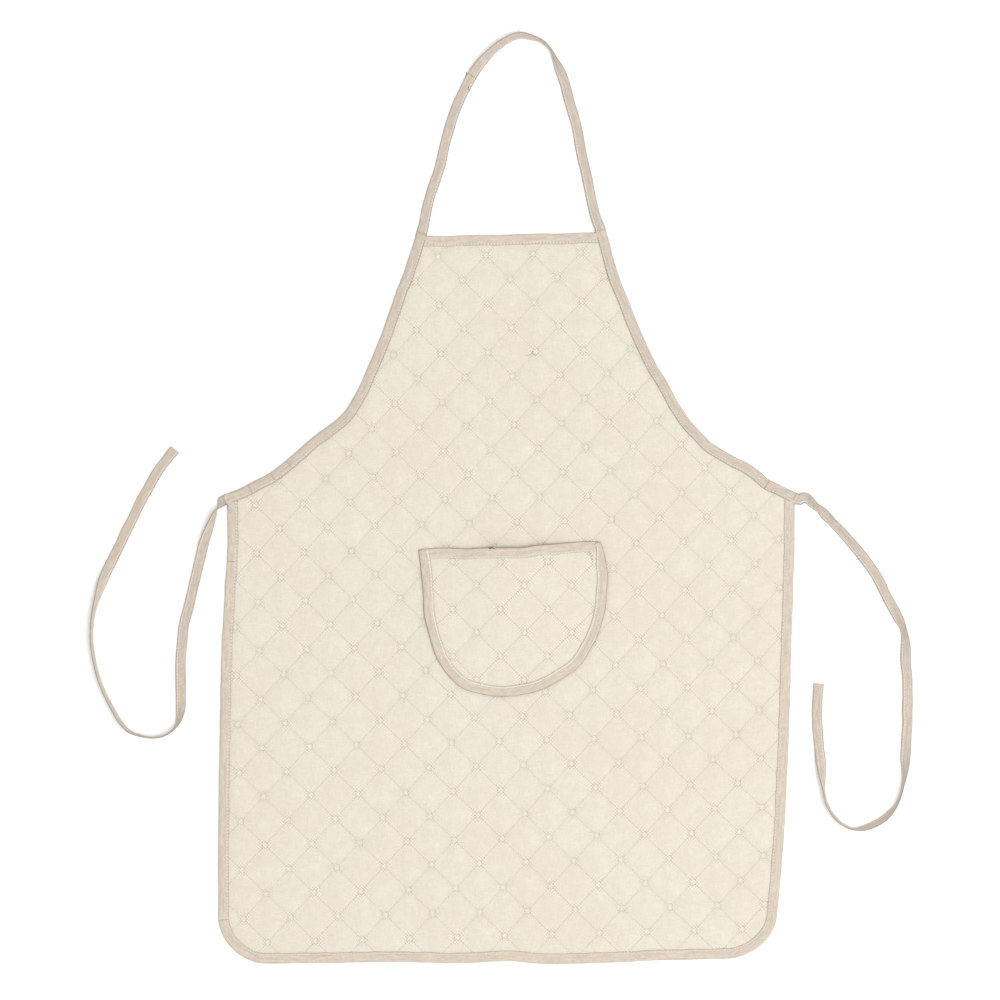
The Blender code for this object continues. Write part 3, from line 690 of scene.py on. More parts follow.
def simulateQuilt(x, y, square, pins, shares):
    # The padding pushes the cloth up between the stitching, which holds it
    used = touching(square)
    index = numbered(used)
    start = layers["stitched"] + paddingStart * layers["puff"] * shares
    obj = finishMesh("padding", rowsOf(used, x, y, start), quads(index, square).tolist(), None)
    outward(obj)
    if sum(polygon.normal.z for polygon in obj.data.polygons) < 0:
        obj.data.flip_normals()
    held = obj.vertex_groups.new(name="held")
    held.add(index[used & pins].tolist(), 1.0, "REPLACE")
    cloth = obj.modifiers.new("cloth", "CLOTH")
    for name, value in padding.items():
        setattr(cloth.settings, name, value)
    cloth.settings.effector_weights.gravity = 0
    cloth.collision_settings.use_collision = False
    cloth.point_cache.frame_start, cloth.point_cache.frame_end = 1, paddingFrames
    for number in range(1, paddingFrames + 1):
        bpy.context.scene.frame_set(number)
    evaluated = obj.evaluated_get(bpy.context.evaluated_depsgraph_get())
    moved = np.empty(used.sum() * 3, np.float32)
    evaluated.data.vertices.foreach_get("co", moved)
    bpy.data.objects.remove(obj)
    bpy.context.scene.frame_set(1)
    raised = np.zeros(used.shape)
    raised[used] = moved[2::3] - layers["stitched"]
    raised = np.maximum(raised, 0)
    full = np.percentile(raised[used & (shares > 0.75)], 90)
    print("padding rose", round(float(full) * 1000, 2), "mm before it was capped")
    return np.minimum(raised / full, 1.12)


def finer(values, good):
    # Twice as many rows and columns, with smooth values between
    for _ in range(2):
        between = (values[:-1] + values[1:]) / 2
        inner = (9 * (values[1:-2] + values[2:-1]) - values[:-3] - values[3:]) / 16
        whole = good[:-3] & good[1:-2] & good[2:-1] & good[3:]
        between[1:-1] = np.where(whole, inner, between[1:-1])
        made = np.empty((2 * len(values) - 1, values.shape[1]))
        made[::2], made[1::2] = values, between
        kept = np.zeros(made.shape, bool)
        kept[::2], kept[1::2] = good, good[:-1] & good[1:]
        values, good = made.T, kept.T
    return values


def quiltedSheet(name, settings, outline, material, lift=None, press=None):
    cells = settings["cells"]
    low, high = outline.min(axis=0), outline.max(axis=0)
    corners = np.array([placeToLattice(settings, x, y) for x in (low[0], high[0]) for y in (low[1], high[1])])
    ranges = []
    for start, end in zip(np.floor(corners.min(axis=0)) - 1, np.ceil(corners.max(axis=0)) + 1):
        ranges.append(np.arange(int(start) * cells, int(end) * cells + 1) / cells)
    p, q = np.meshgrid(*ranges, indexing="ij")
    x, y = latticeToPlace(settings, p, q)
    inset = insetOf(x, y, outline)
    inside = inset > settings["reach"]
    square = inside[:-1, :-1] & inside[1:, :-1] & inside[1:, 1:] & inside[:-1, 1:]
    used = touching(square)
    shares = puffShares(settings, p, q, inset)
    if press is not None:
        shares = shares * press(x, y)
    raised = shares
    onLine = (np.round(p * cells).astype(int) % cells == 0) | (np.round(q * cells).astype(int) % cells == 0)
    swollen = simulateQuilt(x, y, square, onLine | (inset < layers["bindingWidth"]), shares)
    raised = (1 - paddingShare) * shares + paddingShare * swollen * (shares > 0)
    # Twice as fine on top, so that the pillows are round
    fineP, fineQ, fineRaised, fineInset = (finer(values, used) for values in (p, q, raised, inset))
    fineSquare = np.kron(square, np.ones((2, 2), bool))
    fineUsed = touching(fineSquare)
    fineX, fineY = latticeToPlace(settings, fineP, fineQ)
    fromLine = np.minimum(np.abs(fineP - np.round(fineP)), np.abs(fineQ - np.round(fineQ))) * diamondSide(settings)
    nearLine = np.exp(-fromLine / settings["puckerReach"]) * (fromLine > 1e-6)
    opened = fade((fineInset - layers["bindingWidth"]) / settings["bowl"])
    puckers = ripple(fineX, fineY, settings["puckerLength"], settings["seed"] + 1)
    rolls = ripple(fineX, fineY, settings["rollLength"], settings["seed"] + 2)
    fineTop = layers["top"] + layers["stitched"] * opened + layers["puff"] * np.clip(fineRaised, 0, 1.1)
    fineTop += settings["puckers"] * puckers * nearLine * opened
    fineTop += settings["rolls"] * rolls * opened
    bottom = layers["bottom"] - settings["back"] * layers["puff"] * shares
    points = np.vstack([rowsOf(fineUsed, fineX, fineY, fineTop), rowsOf(used, x, y, bottom)])
    if lift is not None:
        points[:, 2] += lift(points[:, 0], points[:, 1])
    fineIndex, index = numbered(fineUsed), numbered(used, fineUsed.sum())
    faces = quads(fineIndex, fineSquare).tolist()
    faces += np.roll(quads(index, square)[:, ::-1], 1, axis=1).tolist()
    # Walls close the sheet where a square has no neighbour; the bindings hide them
    padded = np.pad(square, 1)
    for i, j in zip(*np.nonzero(square)):
        a, b = i + 1, j + 1
        for alone, start, end in (
            (not padded[a - 1, b], (i, j), (i, j + 1)), (not padded[a + 1, b], (i + 1, j + 1), (i + 1, j)),
            (not padded[a, b - 1], (i + 1, j), (i, j)), (not padded[a, b + 1], (i, j + 1), (i + 1, j + 1)),
        ):
            if alone:
                top = [(2 * end[0], 2 * end[1]), (start[0] + end[0], start[1] + end[1]), (2 * start[0], 2 * start[1])]
                faces.append([index[start], index[end], *(fineIndex[spot] for spot in top)])
    obj = finishMesh(name, points, faces, material)
    setUv(obj, "lattice", np.vstack([rowsOf(fineUsed, fineP, fineQ), rowsOf(used, p, q)]))
    outward(obj)
    print(name, len(obj.data.polygons), "faces")
    return obj, {"p": fineP[:, 0], "q": fineQ[0], "top": np.where(fineUsed, fineTop, layers["top"])}


def heightAt(surface, p, q):
    top = surface["top"]
    i = (p - surface["p"][0]) / (surface["p"][1] - surface["p"][0])
    j = (q - surface["q"][0]) / (surface["q"][1] - surface["q"][0])
    a = np.clip(np.floor(i).astype(int), 0, top.shape[0] - 2)
    b = np.clip(np.floor(j).astype(int), 0, top.shape[1] - 2)
    s, t = i - a, j - b
    near = top[a, b] * (1 - s) * (1 - t) + top[a + 1, b] * s * (1 - t)
    return near + top[a, b + 1] * (1 - s) * t + top[a + 1, b + 1] * s * t


def quiltStitches(names, settings, surface, outline, lift=None):
    side, step = diamondSide(settings), 1 / stitch["perSide"]
    made = []

    def inCloth(p, q):
        return insetOf(*latticeToPlace(settings, p, q), outline) > layers["bindingWidth"] + stitch["clear"]

    def sew(name, p, q, nextP, nextQ):
        shown, ends = inCloth(p, q), []
        for a, b in ((p[shown], q[shown]), (nextP[shown], nextQ[shown])):
            x, y = latticeToPlace(settings, a, b)
            z = heightAt(surface, a, b)
            ends.append(np.column_stack([x, y, z if lift is None else z + lift(x, y)]))
        run = ends[1] - ends[0]
        crooked = np.random.default_rng(settings["seed"] + len(made)).normal(0, stitch["crooked"], run.shape)
        run += crooked * np.linalg.norm(run, axis=1)[:, None] * (1, 1, 0)
        middles, ups = ends[0] + (0, 0, stitch["above"]), np.tile([0.0, 0.0, 1.0], (len(run), 1))
        size = (stitch["length"], stitch["width"], stitch["height"])
        made.append(threadRuns(name, middles, run, ups, size, quiltThread))

    whole = {key: np.arange(math.ceil(surface[key][0]), math.floor(surface[key][-1]) + 1.0) for key in "pq"}
    for name, first, second in ((names[0], "p", "q"), (names[1], "q", "p")):
        spots = surface[second]
        along = np.arange(math.ceil(spots[0] / step), math.floor(spots[-1] / step)) * step
        line, run = (grid.ravel() for grid in np.meshgrid(whole[first], along, indexing="ij"))
        clear = np.abs(run - np.round(run)) * side > settings["ringRadius"] + stitch["ringClear"]
        line, run = line[clear], run[clear]
        if first == "p":
            sew(name, line, run, line, run + 0.01)
        else:
            sew(name, run, line, run + 0.01, line)
    crossings = np.meshgrid(whole["p"], whole["q"], indexing="ij")
    crossP, crossQ = (grid[inCloth(*crossings)][:, None] for grid in crossings)
    turns = np.arange(settings["ringStitches"]) * 2 * math.pi / settings["ringStitches"]
    radius = settings["ringRadius"] / side
    ring = []
    for ahead in (0, 0.05):
        ring.append((crossP + radius * np.cos(turns + ahead)).ravel())
        ring.append((crossQ + radius * np.sin(turns + ahead)).ravel())
    sew(names[2], *ring)
    return made


cotton = makeCotton("quilted cream cotton", diamondSide(quilt), 0.46)
pocketCotton = makeCotton("pocket cream cotton", diamondSide(pocketQuilt), 1.0)
quiltThread = makeThread("quilting thread", (0.775, 0.730, 0.640), (0.705, 0.640, 0.530))

fineStep = 0.004
leftArm, rightArm = armholePath(left, fineStep), armholePath(right, fineStep)
bodyOutline = np.vstack([leftArm[:-1], skirtPath(fineStep), rightArm[::-1][1:]])
pocketCurve = pocketPath(pocketCurveShares, fineStep)
pocketMouth = pocketPath(pocketMouthShares, fineStep)
pocketOutline = np.vstack([pocketCurve[::-1][:-1], pocketMouth[::-1][:-1]])


def pressedByPocket(x, y):
    # The padding is held down along the pocket's seam, and a little under all of the pocket
    inset = insetOf(x, y, pocketOutline)
    belowMouth = fade((pocketCut["top"] - y) / 0.010)
    seam = np.exp(-(((inset - pocketCut["pressAt"]) / pocketCut["pressWidth"]) ** 2))
    return 1 - np.maximum(pocketCut["pressed"] * seam, 0.3 * fade(inset / 0.01)) * belowMouth


panel, panelSurface = quiltedSheet("apronPanel", quilt, bodyOutline, cotton, press=pressedByPocket)
dress(panel, "apron_panel")
panelStitchNames = ("panelStitchesUp", "panelStitchesDown", "panelRosettes")
for obj in quiltStitches(panelStitchNames, quilt, panelSurface, bodyOutline):
    dress(obj, "apron_panel", replaces=False)
print("apron panel made")

mouthLevel = pocketCut["top"] - pocketCut["band"]


def pocketLiftAt(x, y):
    # Flat along its seam, standing off the apron most at its mouth
    inner = pocketCurve + toTheRight(pocketCurve) * (layers["bindingWidth"] + layers["gap"])
    lowest = int(inner[:, 1].argmin())
    rightEdge, leftEdge = inner[: lowest + 1][::-1], inner[lowest:]
    level = np.minimum(y, mouthLevel)
    start, end = (np.interp(level, edge[:, 1], edge[:, 0]) for edge in (leftEdge, rightEdge))
    base = inner[lowest, 1]
    up = np.clip((y - base) / (mouthLevel - base), 0, 1)
    across = np.clip((2 * x - start - end) / np.maximum(end - start, 0.001), -1, 1)
    return pocketCut["seat"] + pocketCut["gape"] * (1 - across**2) ** 2 * up**2 * (3 - 2 * up)


pocket, pocketSurface = quiltedSheet("pocketPanel", pocketQuilt, pocketOutline, pocketCotton, pocketLiftAt)
dress(pocket, "pocket_panel")
pocketStitchNames = ("pocketStitchesUp", "pocketStitchesDown", "pocketRosettes")
for obj in quiltStitches(pocketStitchNames, pocketQuilt, pocketSurface, pocketOutline, pocketLiftAt):
    dress(obj, "pocket_panel", replaces=False)
print("pocket made")

binding = {
    "width": layers["bindingWidth"], "step": 0.0026, "stitchIn": 0.0015, "pitch": 0.0036, "stitchLength": 0.0026,
    "threadWidth": 0.00062, "threadHeight": 0.00045, "pucker": 0.00016, "waver": 0.00032, "closed": 0.60,
    "seamHalf": 0.00045, "seamDip": 0.00030, "narrowed": 0.55, "foldRows": (13,), "innerRows": (1, 25),
    "stitchRows": (4, 22), "stitchAbove": 0.00012,
}


def bindingProfile():
    # A folded tape over the cloth's edge, in mm: x is 0 at the fold and falls into the cloth
    w = binding["width"] * 1000
    upper = [
        (-w, 2.72), (-w + 0.12, 3.02), (-w + 0.55, 3.20), (-w + 1.05, 3.16), (-w + 1.5, 3.02), (-w + 2.0, 3.20),
        (-w + 2.8, 3.40), (-w + 4.4, 3.50), (-w + 6.4, 3.55), (-3.2, 3.54), (-1.8, 3.42), (-0.8, 3.10), (-0.2, 2.55),
    ]
    lower = [(x, 3.6 - z) for x, z in upper[::-1]]
    inside = [
        (-w + 0.1, 0.98), (-5.0, 0.90), (-2.0, 0.98), (-1.25, 1.30), (-1.25, 2.30), (-2.0, 2.62), (-5.0, 2.70),
        (-w + 0.1, 2.62),
    ]
    return np.array([*upper, (0.0, 1.8), *lower, *inside]) / 1000


def withSeams(places, seams):
    # Extra rings close to each seam, and how far each ring is part of one
    length, half = places[-1], binding["seamHalf"]
    spots = [seam if seam > 0 else length + seam for seam in seams]
    extra = [spot + shift for spot in spots for shift in (-2 * half, -half, 0, half, 2 * half)]
    clear = [place for place in places if all(abs(place - spot) > 3 * half for spot in spots)]
    merged = np.sort(np.array(clear + extra))
    share = np.zeros(len(merged))
    for spot in spots:
        share = np.maximum(share, np.clip(1 - np.abs(merged - spot) / (1.5 * half), 0, 1))
    return merged, share


def bindingStrip(settings):
    path, profile = settings["path"], bindingProfile()
    length = distanceAlong(path)[-1]
    even = np.linspace(0, length, round(length / binding["step"]) + 1)
    places, seam = withSeams(even, settings["seams"])
    outwards = rightOf(alongPath(path, even), even, places)
    path = alongPath(path, places)
    width, seed, closed = binding["width"], settings["seed"], binding["closed"]
    waver = binding["waver"] * wander(places, 0.045, seed)
    pucker = binding["pucker"] * wander(places, 0.0085, seed + 1)
    slant = binding["pucker"] * 0.7 * wander(places + 0.004, 0.006, seed + 2)
    squeeze = np.full(len(path), settings["flat"])
    for reach, fromEnd in ((settings["closeStart"], places), (settings["closeEnd"], length - places)):
        if reach:
            squeeze *= closed + (1 - closed) * fade(fromEnd / reach)
    nearStitch = np.exp(-(((profile[:, 0] + width - binding["stitchIn"]) / 0.0016) ** 2))
    middle = np.exp(-(((profile[:, 0] + width / 2) / 0.0035) ** 2))
    top = np.where(profile[:, 1] > clothMiddle, 1.0, -1.0)
    wide = 1 + 0.02 * wander(places, 0.03, seed + 3)
    if settings["narrowEnd"]:
        narrowed = binding["narrowed"]
        wide = wide * (narrowed + (1 - narrowed) * fade((length - places) / settings["narrowEnd"]))
    x = profile[None, :, 0] * wide[:, None] + waver[:, None]
    z = clothMiddle + (profile[None, :, 1] - clothMiddle) * squeeze[:, None]
    z = z + settings["rise"] * (top > 0) * (profile[:, 0] < -0.001)
    z = z + top * (pucker[:, None] * nearStitch + slant[:, None] * middle - binding["seamDip"] * seam[:, None])
    rings = np.empty((len(path), len(profile), 3))
    rings[:, :, :2] = path[:, None] + outwards[:, None] * x[..., None]
    rings[:, :, 2] = np.maximum(z, layers["lowest"])
    if settings["lift"] is not None:
        rings[:, :, 2] += settings["lift"](rings[:, :, 0], rings[:, :, 1])
    obj = sweep(settings["name"], rings, profile, settings["tape"], seam)
    spots = np.arange(binding["pitch"], length - 0.001, binding["pitch"])
    rows = [
        (column, np.tile([0.0, 0.0, sign], (len(spots), 1)), binding["stitchAbove"])
        for column, sign in zip(binding["stitchRows"], (1.0, -1.0))
    ]
    name = settings["name"] + "Stitches"
    return obj, topstitch(name, rings, places, spots, rows, settings["threadSize"], settings["thread"])


def extended(path, before, after):
    start, end = path[0] - path[1], path[-1] - path[-2]
    first = path[0] + start / np.linalg.norm(start) * before
    last = path[-1] + end / np.linalg.norm(end) * after
    return np.vstack([first, path, last])


def trimmed(path, before, after):
    length = distanceAlong(path)[-1]
    return alongPath(path, np.linspace(before, length - after, round(length / 0.0015)))


aroundBinding = distanceAlong(bindingProfile())
marksAt = {
    "foldAt": aroundBinding[list(binding["foldRows"])], "stitchAt": aroundBinding[list(binding["stitchRows"])],
}
innerAt = dict(marksAt, innerEdges=aroundBinding[list(binding["innerRows"])])
bindingTape = makeTape("beige bias tape", edgeShade=0.50, innerShade=0.16, holeShade=0.5, **innerAt)
armholeTape = makeTape("armhole bias tape", edgeShade=0.60, innerShade=0.50, tone=(0.95, 0.95, 0.96), **innerAt)
# Full painted shade along the pocket tape's fold, standing for the shadow at the pocket's outer edge and in the gap
# at its mouth
pocketTape = makeTape("pocket bias tape", edgeShade=1.0, holeShade=0.05, **marksAt)
topThread = makeThread("topstitching thread", (0.790, 0.745, 0.660), (0.680, 0.620, 0.520))
whiteThread = makeThread("white thread", (0.820, 0.795, 0.740), (0.74, 0.70, 0.63))

strapStart, tieStart = 0.0044, 0.0065
threadSize = (binding["threadWidth"], binding["threadHeight"])
plain = {
    "closeStart": 0.0, "closeEnd": 0.0, "lift": None, "rise": 0.0, "flat": 1.0, "narrowEnd": 0.0, "seams": (),
    "tape": bindingTape, "thread": topThread, "threadSize": (binding["stitchLength"], *threadSize),
}
onArmhole = dict(plain, rise=0.0003, tape=armholeTape)
onPocket = dict(plain, lift=pocketLiftAt, flat=0.72, tape=pocketTape)
bindings = (
    dict(plain, name="hemBinding", node="hem_binding", path=trimmed(skirtPath(0.003), 0.003, 0.003), seed=31,
         closeStart=0.010, closeEnd=0.010, seams=(0.071, 0.4635)),
    dict(plain, name="bibTopBinding", node="bib_top_binding", seed=37, closeStart=0.012, closeEnd=0.012,
         path=trimmed(np.array([bibCorner(right), bibCorner(left)]), 0.004, 0.004)),
    dict(onArmhole, name="leftArmholeBinding", node="left_armhole_binding", seed=41, closeStart=0.008, closeEnd=0.010,
         path=extended(armholePath(left, 0.003), strapStart, tieStart), seams=(-0.080, -0.0585, -0.031)),
    dict(onArmhole, name="rightArmholeBinding", node="right_armhole_binding", seed=47, closeStart=0.010,
         closeEnd=0.008, path=extended(armholePath(right, 0.003), strapStart, tieStart)[::-1], seams=(0.0046, 0.037)),
    dict(onPocket, name="pocketTopBinding", node="pocket_top_binding", seed=53, closeStart=0.014, closeEnd=0.014,
         path=trimmed(pocketMouth[::-1], 0.003, 0.003)),
    dict(onPocket, name="pocketCurveBinding", node="pocket_curve_binding", seed=59, path=pocketCurve[::-1],
         rise=0.0005, narrowEnd=0.030, thread=whiteThread, threadSize=(0.0037, 0.00105, 0.00060)),
)
for settings in bindings:
    strip, threads = bindingStrip(settings)
    dress(strip, settings["node"])
    dress(threads, settings["node"], replaces=False)
print("bindings made")

tape = {
    "width": 0.0110, "thickness": 0.0016, "settle": 0.030, "straight": 0.0016, "step": 0.0020, "pitch": 0.0036,
    "stitchLength": 0.0032, "waver": 0.00030, "tucked": 0.004, "lowest": 0.00003, "loose": 0.00035, "cup": 0.00022,
    "foldRows": (0, 10, 20), "stitchRows": (3, 17), "stitchAbove": 0.00010,
}
# Share of half the bib's width, share of the loop's rise, both in thousandths, and roll in degrees
neckLoopRoute = (
    (-880, 116, 0), (-805, 236, 0), (-729, 356, 0), (-669, 476, 0), (-594, 596, 0), (-484, 715, 5), (-335, 835, 22),
    (-221, 896, 42), (-78, 951, 53), (96, 986, 60), (219, 974, 70), (328, 954, 80), (415, 912, 84), (465, 860, 60),
    (526, 795, 18), (599, 685, 0), (667, 566, 0), (729, 426, 0), (784, 296, 0), (839, 176, 0), (901, 56, 0),
)
# Tenths of a millimetre right and up from the end of the armhole binding, and roll in degrees
leftTieRoute = (
    (-22, -30, 34), (-46, -62, 66), (-70, -97, 88), (-91, -138, 108), (-112, -190, 118), (-138, -258, 130),
    (-170, -335, 145), (-214, -465, 165), (-252, -620, 175), (-288, -766, 180), (-365, -1093, 180),
    (-425, -1333, 180), (-458, -1584, 180), (-472, -1867, 180), (-465, -2129, 180), (-470, -2292, 205),
    (-491, -2401, 235), (-531, -2483, 262), (-616, -2552, 268), (-768, -2587, 270), (-910, -2563, 268),
    (-1025, -2519, 263), (-1106, -2439, 258), (-1210, -2270, 258), (-1303, -2085, 261), (-1370, -1905, 262),
    (-1416, -1704, 262), (-1438, -1507, 262), (-1431, -1311, 260), (-1398, -1137, 252), (-1357, -995, 232),
    (-1303, -843, 202), (-1221, -657, 180), (-1112, -439, 180), (-1008, -221, 180), (-899, -3, 180),
    (-779, 215, 180), (-665, 395, 180), (-534, 561, 180),
)
rightTieRoute = (
    (40, 18, 0), (80, 20, 8), (122, -8, 28), (158, -47, 40), (200, -85, 52), (245, -113, 44), (296, -170, 16),
    (362, -237, 40), (438, -312, 30), (558, -448, 24), (698, -615, 10), (851, -823, 0), (976, -1074, 0),
    (1081, -1267, 15), (1147, -1419, 60), (1168, -1523, 45), (1175, -1643, 15), (1177, -1773, 0), (1196, -1991, 0),
    (1197, -2231, 0), (1189, -2547, 0), (1173, -2809, 25), (1160, -2972, 60), (1145, -3103, 85), (1101, -3267, 88),
    (1051, -3360, 80), (972, -3447, 62), (901, -3504, 60), (814, -3550, 62), (711, -3586, 68), (623, -3598, 84),
    (525, -3570, 84), (427, -3498, 76), (351, -3403, 76), (302, -3299, 74), (279, -3180, 76), (264, -3049, 50),
    (251, -2918, 22), (229, -2678, 0), (211, -2460, 0), (208, -2242, 0), (226, -2013, 0),
)


def strapStartPoint(side, atBib):
    edge = armholePath(side, cut["outlineStep"])
    edge, past = (edge[::-1], strapStart) if atBib else (edge, tieStart)
    along = (edge[-1] - edge[-2]) / np.linalg.norm(edge[-1] - edge[-2])
    inward = np.array([-along[1], along[0]])
    if atBib == (side == left):
        inward = -inward
    return edge[-1] + along * (past + layers["gap"]) + inward * binding["width"] / 2, along


def tapeProfile():
    # A tape folded in two, open along +x, in mm
    w, t = tape["width"] * 500, tape["thickness"] * 500
    upper = [
        (w, 0.62 * t), (w - 0.25, 0.85 * t), (w - 0.9, 0.92 * t), (w - 1.6, 0.74 * t), (w - 2.3, 0.92 * t),
        (w - 4.0, 1.0 * t), (-w + 4.0, 1.0 * t), (-w + 1.6, 0.98 * t), (-w + 0.5, 0.80 * t), (-w + 0.1, 0.45 * t),
    ]
    lower = [(x, -y) for x, y in upper[::-1]]
    slit = [(w - 0.1, -0.2 * t), (w - 0.7, 0.0), (w - 0.1, 0.2 * t)]
    return np.array([*upper, (-w, 0.0), *lower, *slit]) / 1000


def tapeStrip(settings):
    fine = smoothPath(settings["rows"], 0.0014)
    travelled, seed = distanceAlong(fine[:, :2]), settings["seed"]
    even = np.linspace(0, travelled[-1], round(travelled[-1] / tape["step"]) + 1)
    places, seam = withSeams(even, settings["seams"])
    x, y, roll = (np.interp(places, travelled, column) for column in fine.T)
    fromStart, fromEnd = places - tape["tucked"], travelled[-1] - places
    if settings["bothEnds"]:
        fromStart = np.minimum(fromStart, fromEnd - tape["tucked"])
    fromStart = np.maximum(fromStart, 0)
    held = (1 + np.cos(math.pi * np.minimum(fromStart / tape["settle"], 1))) / 2
    turn = np.radians(roll)
    resting = tape["width"] / 2 * abs(np.sin(turn)) + tape["thickness"] / 2 * abs(np.cos(turn))
    height = resting + (clothMiddle - tape["thickness"] / 2) * held
    path = np.column_stack([x, y])
    rightward = rightOf(resample(even, places, path), even, places)
    free = fade(fromStart / 0.02)
    height = height + tape["loose"] * (1 + wander(places, 0.05, seed)) * free * np.cos(turn) ** 2
    side = np.column_stack([rightward * np.cos(turn)[:, None], -np.sin(turn)])
    up = np.column_stack([rightward * np.sin(turn)[:, None], np.cos(turn)])
    profile = tapeProfile() * (settings["openSide"], 1)
    thick = 1 + 0.28 * (1 - fade(fromStart / 0.010)) + 0.10 * wander(places, 0.012, seed + 1)
    wide = (1 + 0.03 * wander(places, 0.030, seed + 2) * free) * (1 + 0.04 * (1 - free))
    shift = tape["waver"] * wander(places, 0.04, seed + 3) * fade(fromStart / 0.01)
    centre = np.column_stack([path, height])
    across = profile[None, :, 0] * wide[:, None] + shift[:, None]
    # A folded tape ripples a little between its two sewn layers
    bowed = 1 - (profile[None, :, 0] / (tape["width"] / 2)) ** 2
    cup = tape["cup"] * wander(places, 0.014, seed + 4)[:, None] * bowed
    dip = np.sign(profile[None, :, 1]) * binding["seamDip"] * 0.7 * seam[:, None]
    lift = profile[None, :, 1] * thick[:, None] + cup - dip
    rings = centre[:, None] + side[:, None] * across[..., None] + up[:, None] * lift[..., None]
    rings[..., 2] = np.maximum(rings[..., 2], tape["lowest"])
    obj = sweep(settings["name"], rings, profile, strapTape, seam)
    spots = np.arange(tape["tucked"] + tape["pitch"], places[-1] - 0.001, tape["pitch"])
    normal = unit(resample(spots, places, up))
    rows = [(column, normal * sign, tape["stitchAbove"]) for column, sign in zip(tape["stitchRows"], (1, -1))]
    size = (tape["stitchLength"], *threadSize)
    threads = topstitch(settings["name"] + "Stitches", rings, places, spots, rows, size, strapThread)
    return obj, threads, centre, float(distanceAlong(centre)[-1])


aroundTape = distanceAlong(tapeProfile())
strapTape = makeTape(
    "beige strap tape", foldAt=aroundTape[list(tape["foldRows"])], stitchAt=aroundTape[list(tape["stitchRows"])],
    edgeShade=0.60, palePull=0.75, tone=(0.915, 0.915, 0.925),
)
strapThread = makeThread("strap thread", (0.800, 0.760, 0.680), (0.700, 0.650, 0.560))


def strapEnd(side, atBib):
    # From inside the armhole binding to just past its end
    start, along = strapStartPoint(side, atBib)
    return [(*(start + along * reach), 0) for reach in (-tape["tucked"], 0, tape["straight"])]


loopRows = strapEnd(left, True)
for share, rise, roll in neckLoopRoute:
    x = cut["bibShift"] + cut["bibWidth"] / 2 * (share / 1000)
    loopRows.append((x, bibY + cut["loopRise"] * (rise / 1000), roll))
loopRows += strapEnd(right, True)[::-1]
loop, loopThreads, _, loopLength = tapeStrip({
    "name": "neckLoop", "rows": loopRows, "seed": 71, "bothEnds": True, "openSide": 1, "seams": (0.0050, 0.186),
})
dress(loop, "neck_loop")
dress(loopThreads, "neck_loop", replaces=False)
print("neck loop", round(loopLength, 3), "m")

ties = (
    {"side": left, "name": "leftTie", "node": "left_tie", "route": leftTieRoute, "seed": 83, "openSide": -1},
    {"side": right, "name": "rightTie", "node": "right_tie", "route": rightTieRoute, "seed": 89, "openSide": 1},
)
for settings in ties:
    rows = strapEnd(settings["side"], False)
    start = rows[1]
    rows += [(start[0] + x / 10000, start[1] + y / 10000, roll) for x, y, roll in settings["route"]]
    tie, tieThreads, centre, length = tapeStrip(dict(settings, rows=rows, bothEnds=False, seams=()))
    dress(tie, settings["node"])
    dress(tieThreads, settings["node"], replaces=False)
    print(settings["name"], round(length, 3), "m")

# Ends of thread left by the sewing. A curl is right and up in metres, its length, and how it lies in degrees
threadEnds = (
    {"name": "darkThreadEnds", "node": "pocket_top_binding",
     "material": makeThread("dark thread", (0.200, 0.135, 0.085), (0.120, 0.080, 0.050)),
     "curls": (
         (-0.0166, -0.0538, 0.0048, 10), (-0.0150, -0.0545, 0.0040, -20), (-0.0172, -0.0545, 0.0030, 15),
         (-0.0432, 0.4636, 0.0040, 80), (-0.0414, 0.4474, 0.0045, -70),
     )},
    {"name": "tanThreadEnds", "node": "apron_panel",
     "material": makeThread("tan thread", (0.560, 0.430, 0.330), (0.480, 0.350, 0.250)),
     "curls": (
         (0.0258, 0.1568, 0.0070, 25), (0.0300, 0.1570, 0.0050, -30), (0.0902, -0.0590, 0.0050, -42),
         (0.0918, -0.0615, 0.0045, -50), (0.0925, -0.0650, 0.0040, -75),
     )},
    {"name": "paleThreadEnds", "node": "pocket_curve_binding", "material": whiteThread,
     "curls": (
         (0.0935, -0.0606, 0.0055, -60), (0.0908, -0.0640, 0.0050, -20), (0.0962, -0.0580, 0.0040, 85),
         (0.0139, 0.5105, 0.0030, 95),
     )},
)
curl = {"turn": 50, "above": 0.00025, "bead": (0.0020, 0.00048, 0.00040)}
carrierNames = ("pocketTopBinding", "pocketCurveBinding", "pocketPanel", "neckLoop", "apronPanel")
carriers = [bpy.data.objects[name] for name in carrierNames]
bpy.context.view_layer.update()


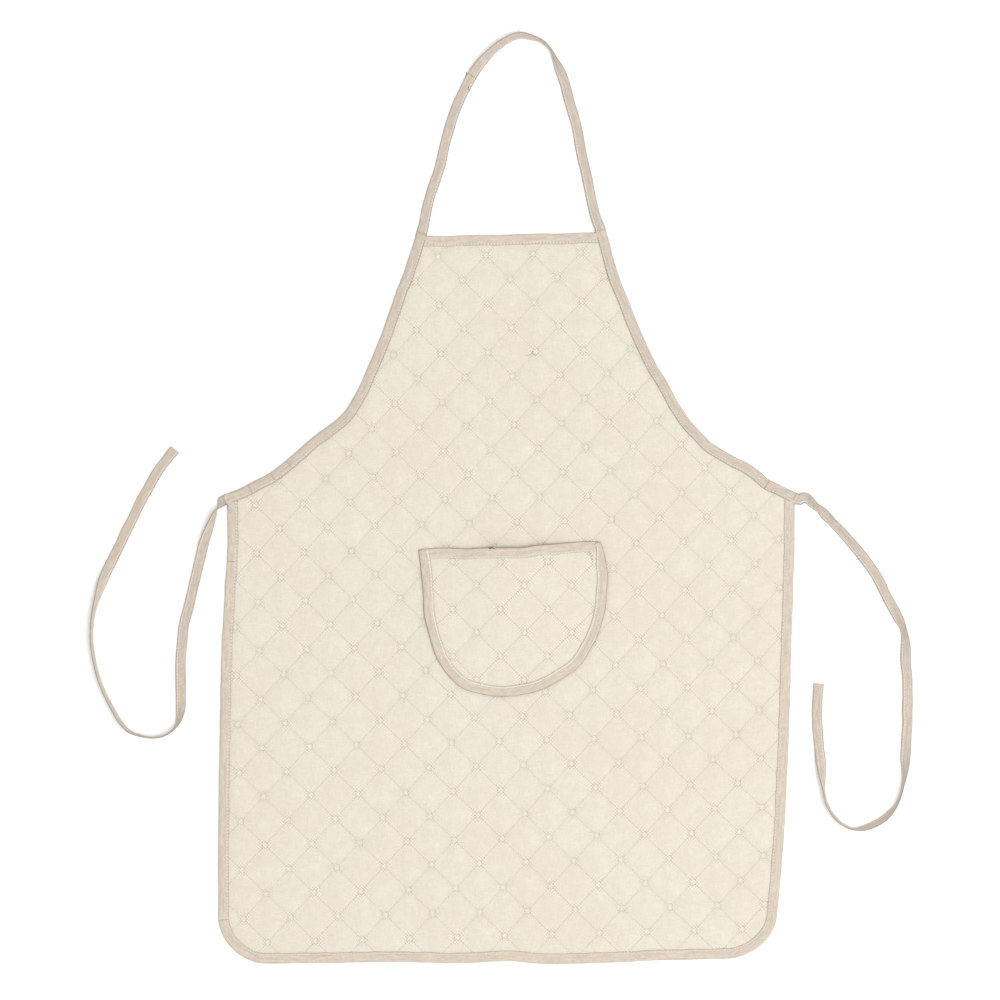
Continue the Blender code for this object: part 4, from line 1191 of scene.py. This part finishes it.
def topOf(x, y):
    # Height of the highest cloth or tape under a point
    hits = [obj.ray_cast(Vector((x, y, 0.1)), Vector((0, 0, -1))) for obj in carriers]
    return max([hit[1].z for hit in hits if hit[0]], default=0.0008)


for ends in threadEnds:
    middles, runs = [], []
    for x, y, length, lies in ends["curls"]:
        for share in (-0.5, -0.25, 0, 0.25, 0.5):
            turn = math.radians(lies + curl["turn"] * share)
            here = (x + share * length * math.cos(turn), y + share * length * math.sin(turn))
            middles.append((*here, topOf(*here) + curl["above"]))
            runs.append((math.cos(turn), math.sin(turn), 0))
    ups = np.tile([0.0, 0.0, 1.0], (len(middles), 1))
    obj = threadRuns(ends["name"], np.array(middles), np.array(runs), ups, curl["bead"], ends["material"])
    dress(obj, ends["node"], replaces=False)
print("loose threads made")

studio = {
    "floor": {"Base Color": (0.98, 0.98, 0.98, 1), "Roughness": 0.9}, "world": 0.86, "key": 110, "keySize": 3.0,
    "keyAt": (1.7, -0.7, 4.0), "pixel": 0.0010927, "frame": 1000, "sensor": 36, "distance": 3.2,
    "middle": (-0.0069, -0.0015),
}
bpy.ops.mesh.primitive_plane_add(size=30, location=(0, 0, 0))
floor = bpy.context.object
floor.name = "floor"
floor.data.materials.append(newMaterial("white floor", studio["floor"])[0])

scene = bpy.context.scene
scene.world = bpy.data.worlds.new("studio")
scene.world.use_nodes = True
background = scene.world.node_tree.nodes["Background"].inputs
background["Color"].default_value = (1, 1, 1, 1)
background["Strength"].default_value = studio["world"]

lamp = bpy.data.lights.new("key light", "AREA")
lamp.energy, lamp.size = studio["key"], studio["keySize"]
keyLight = bpy.data.objects.new("key light", lamp)
keyLight.location = studio["keyAt"]
keyLight.rotation_euler = (-Vector(studio["keyAt"])).to_track_quat("-Z", "Y").to_euler()

cameraData = bpy.data.cameras.new("camera")
cameraData.sensor_width = studio["sensor"]
cameraData.lens = studio["sensor"] * studio["distance"] / (studio["frame"] * studio["pixel"])
camera = bpy.data.objects.new("camera", cameraData)
camera.location = (*studio["middle"], studio["distance"])
for obj in (keyLight, camera):
    scene.collection.objects.link(obj)
scene.camera = camera
scene.view_settings.view_transform = "Standard"

print("scene made")
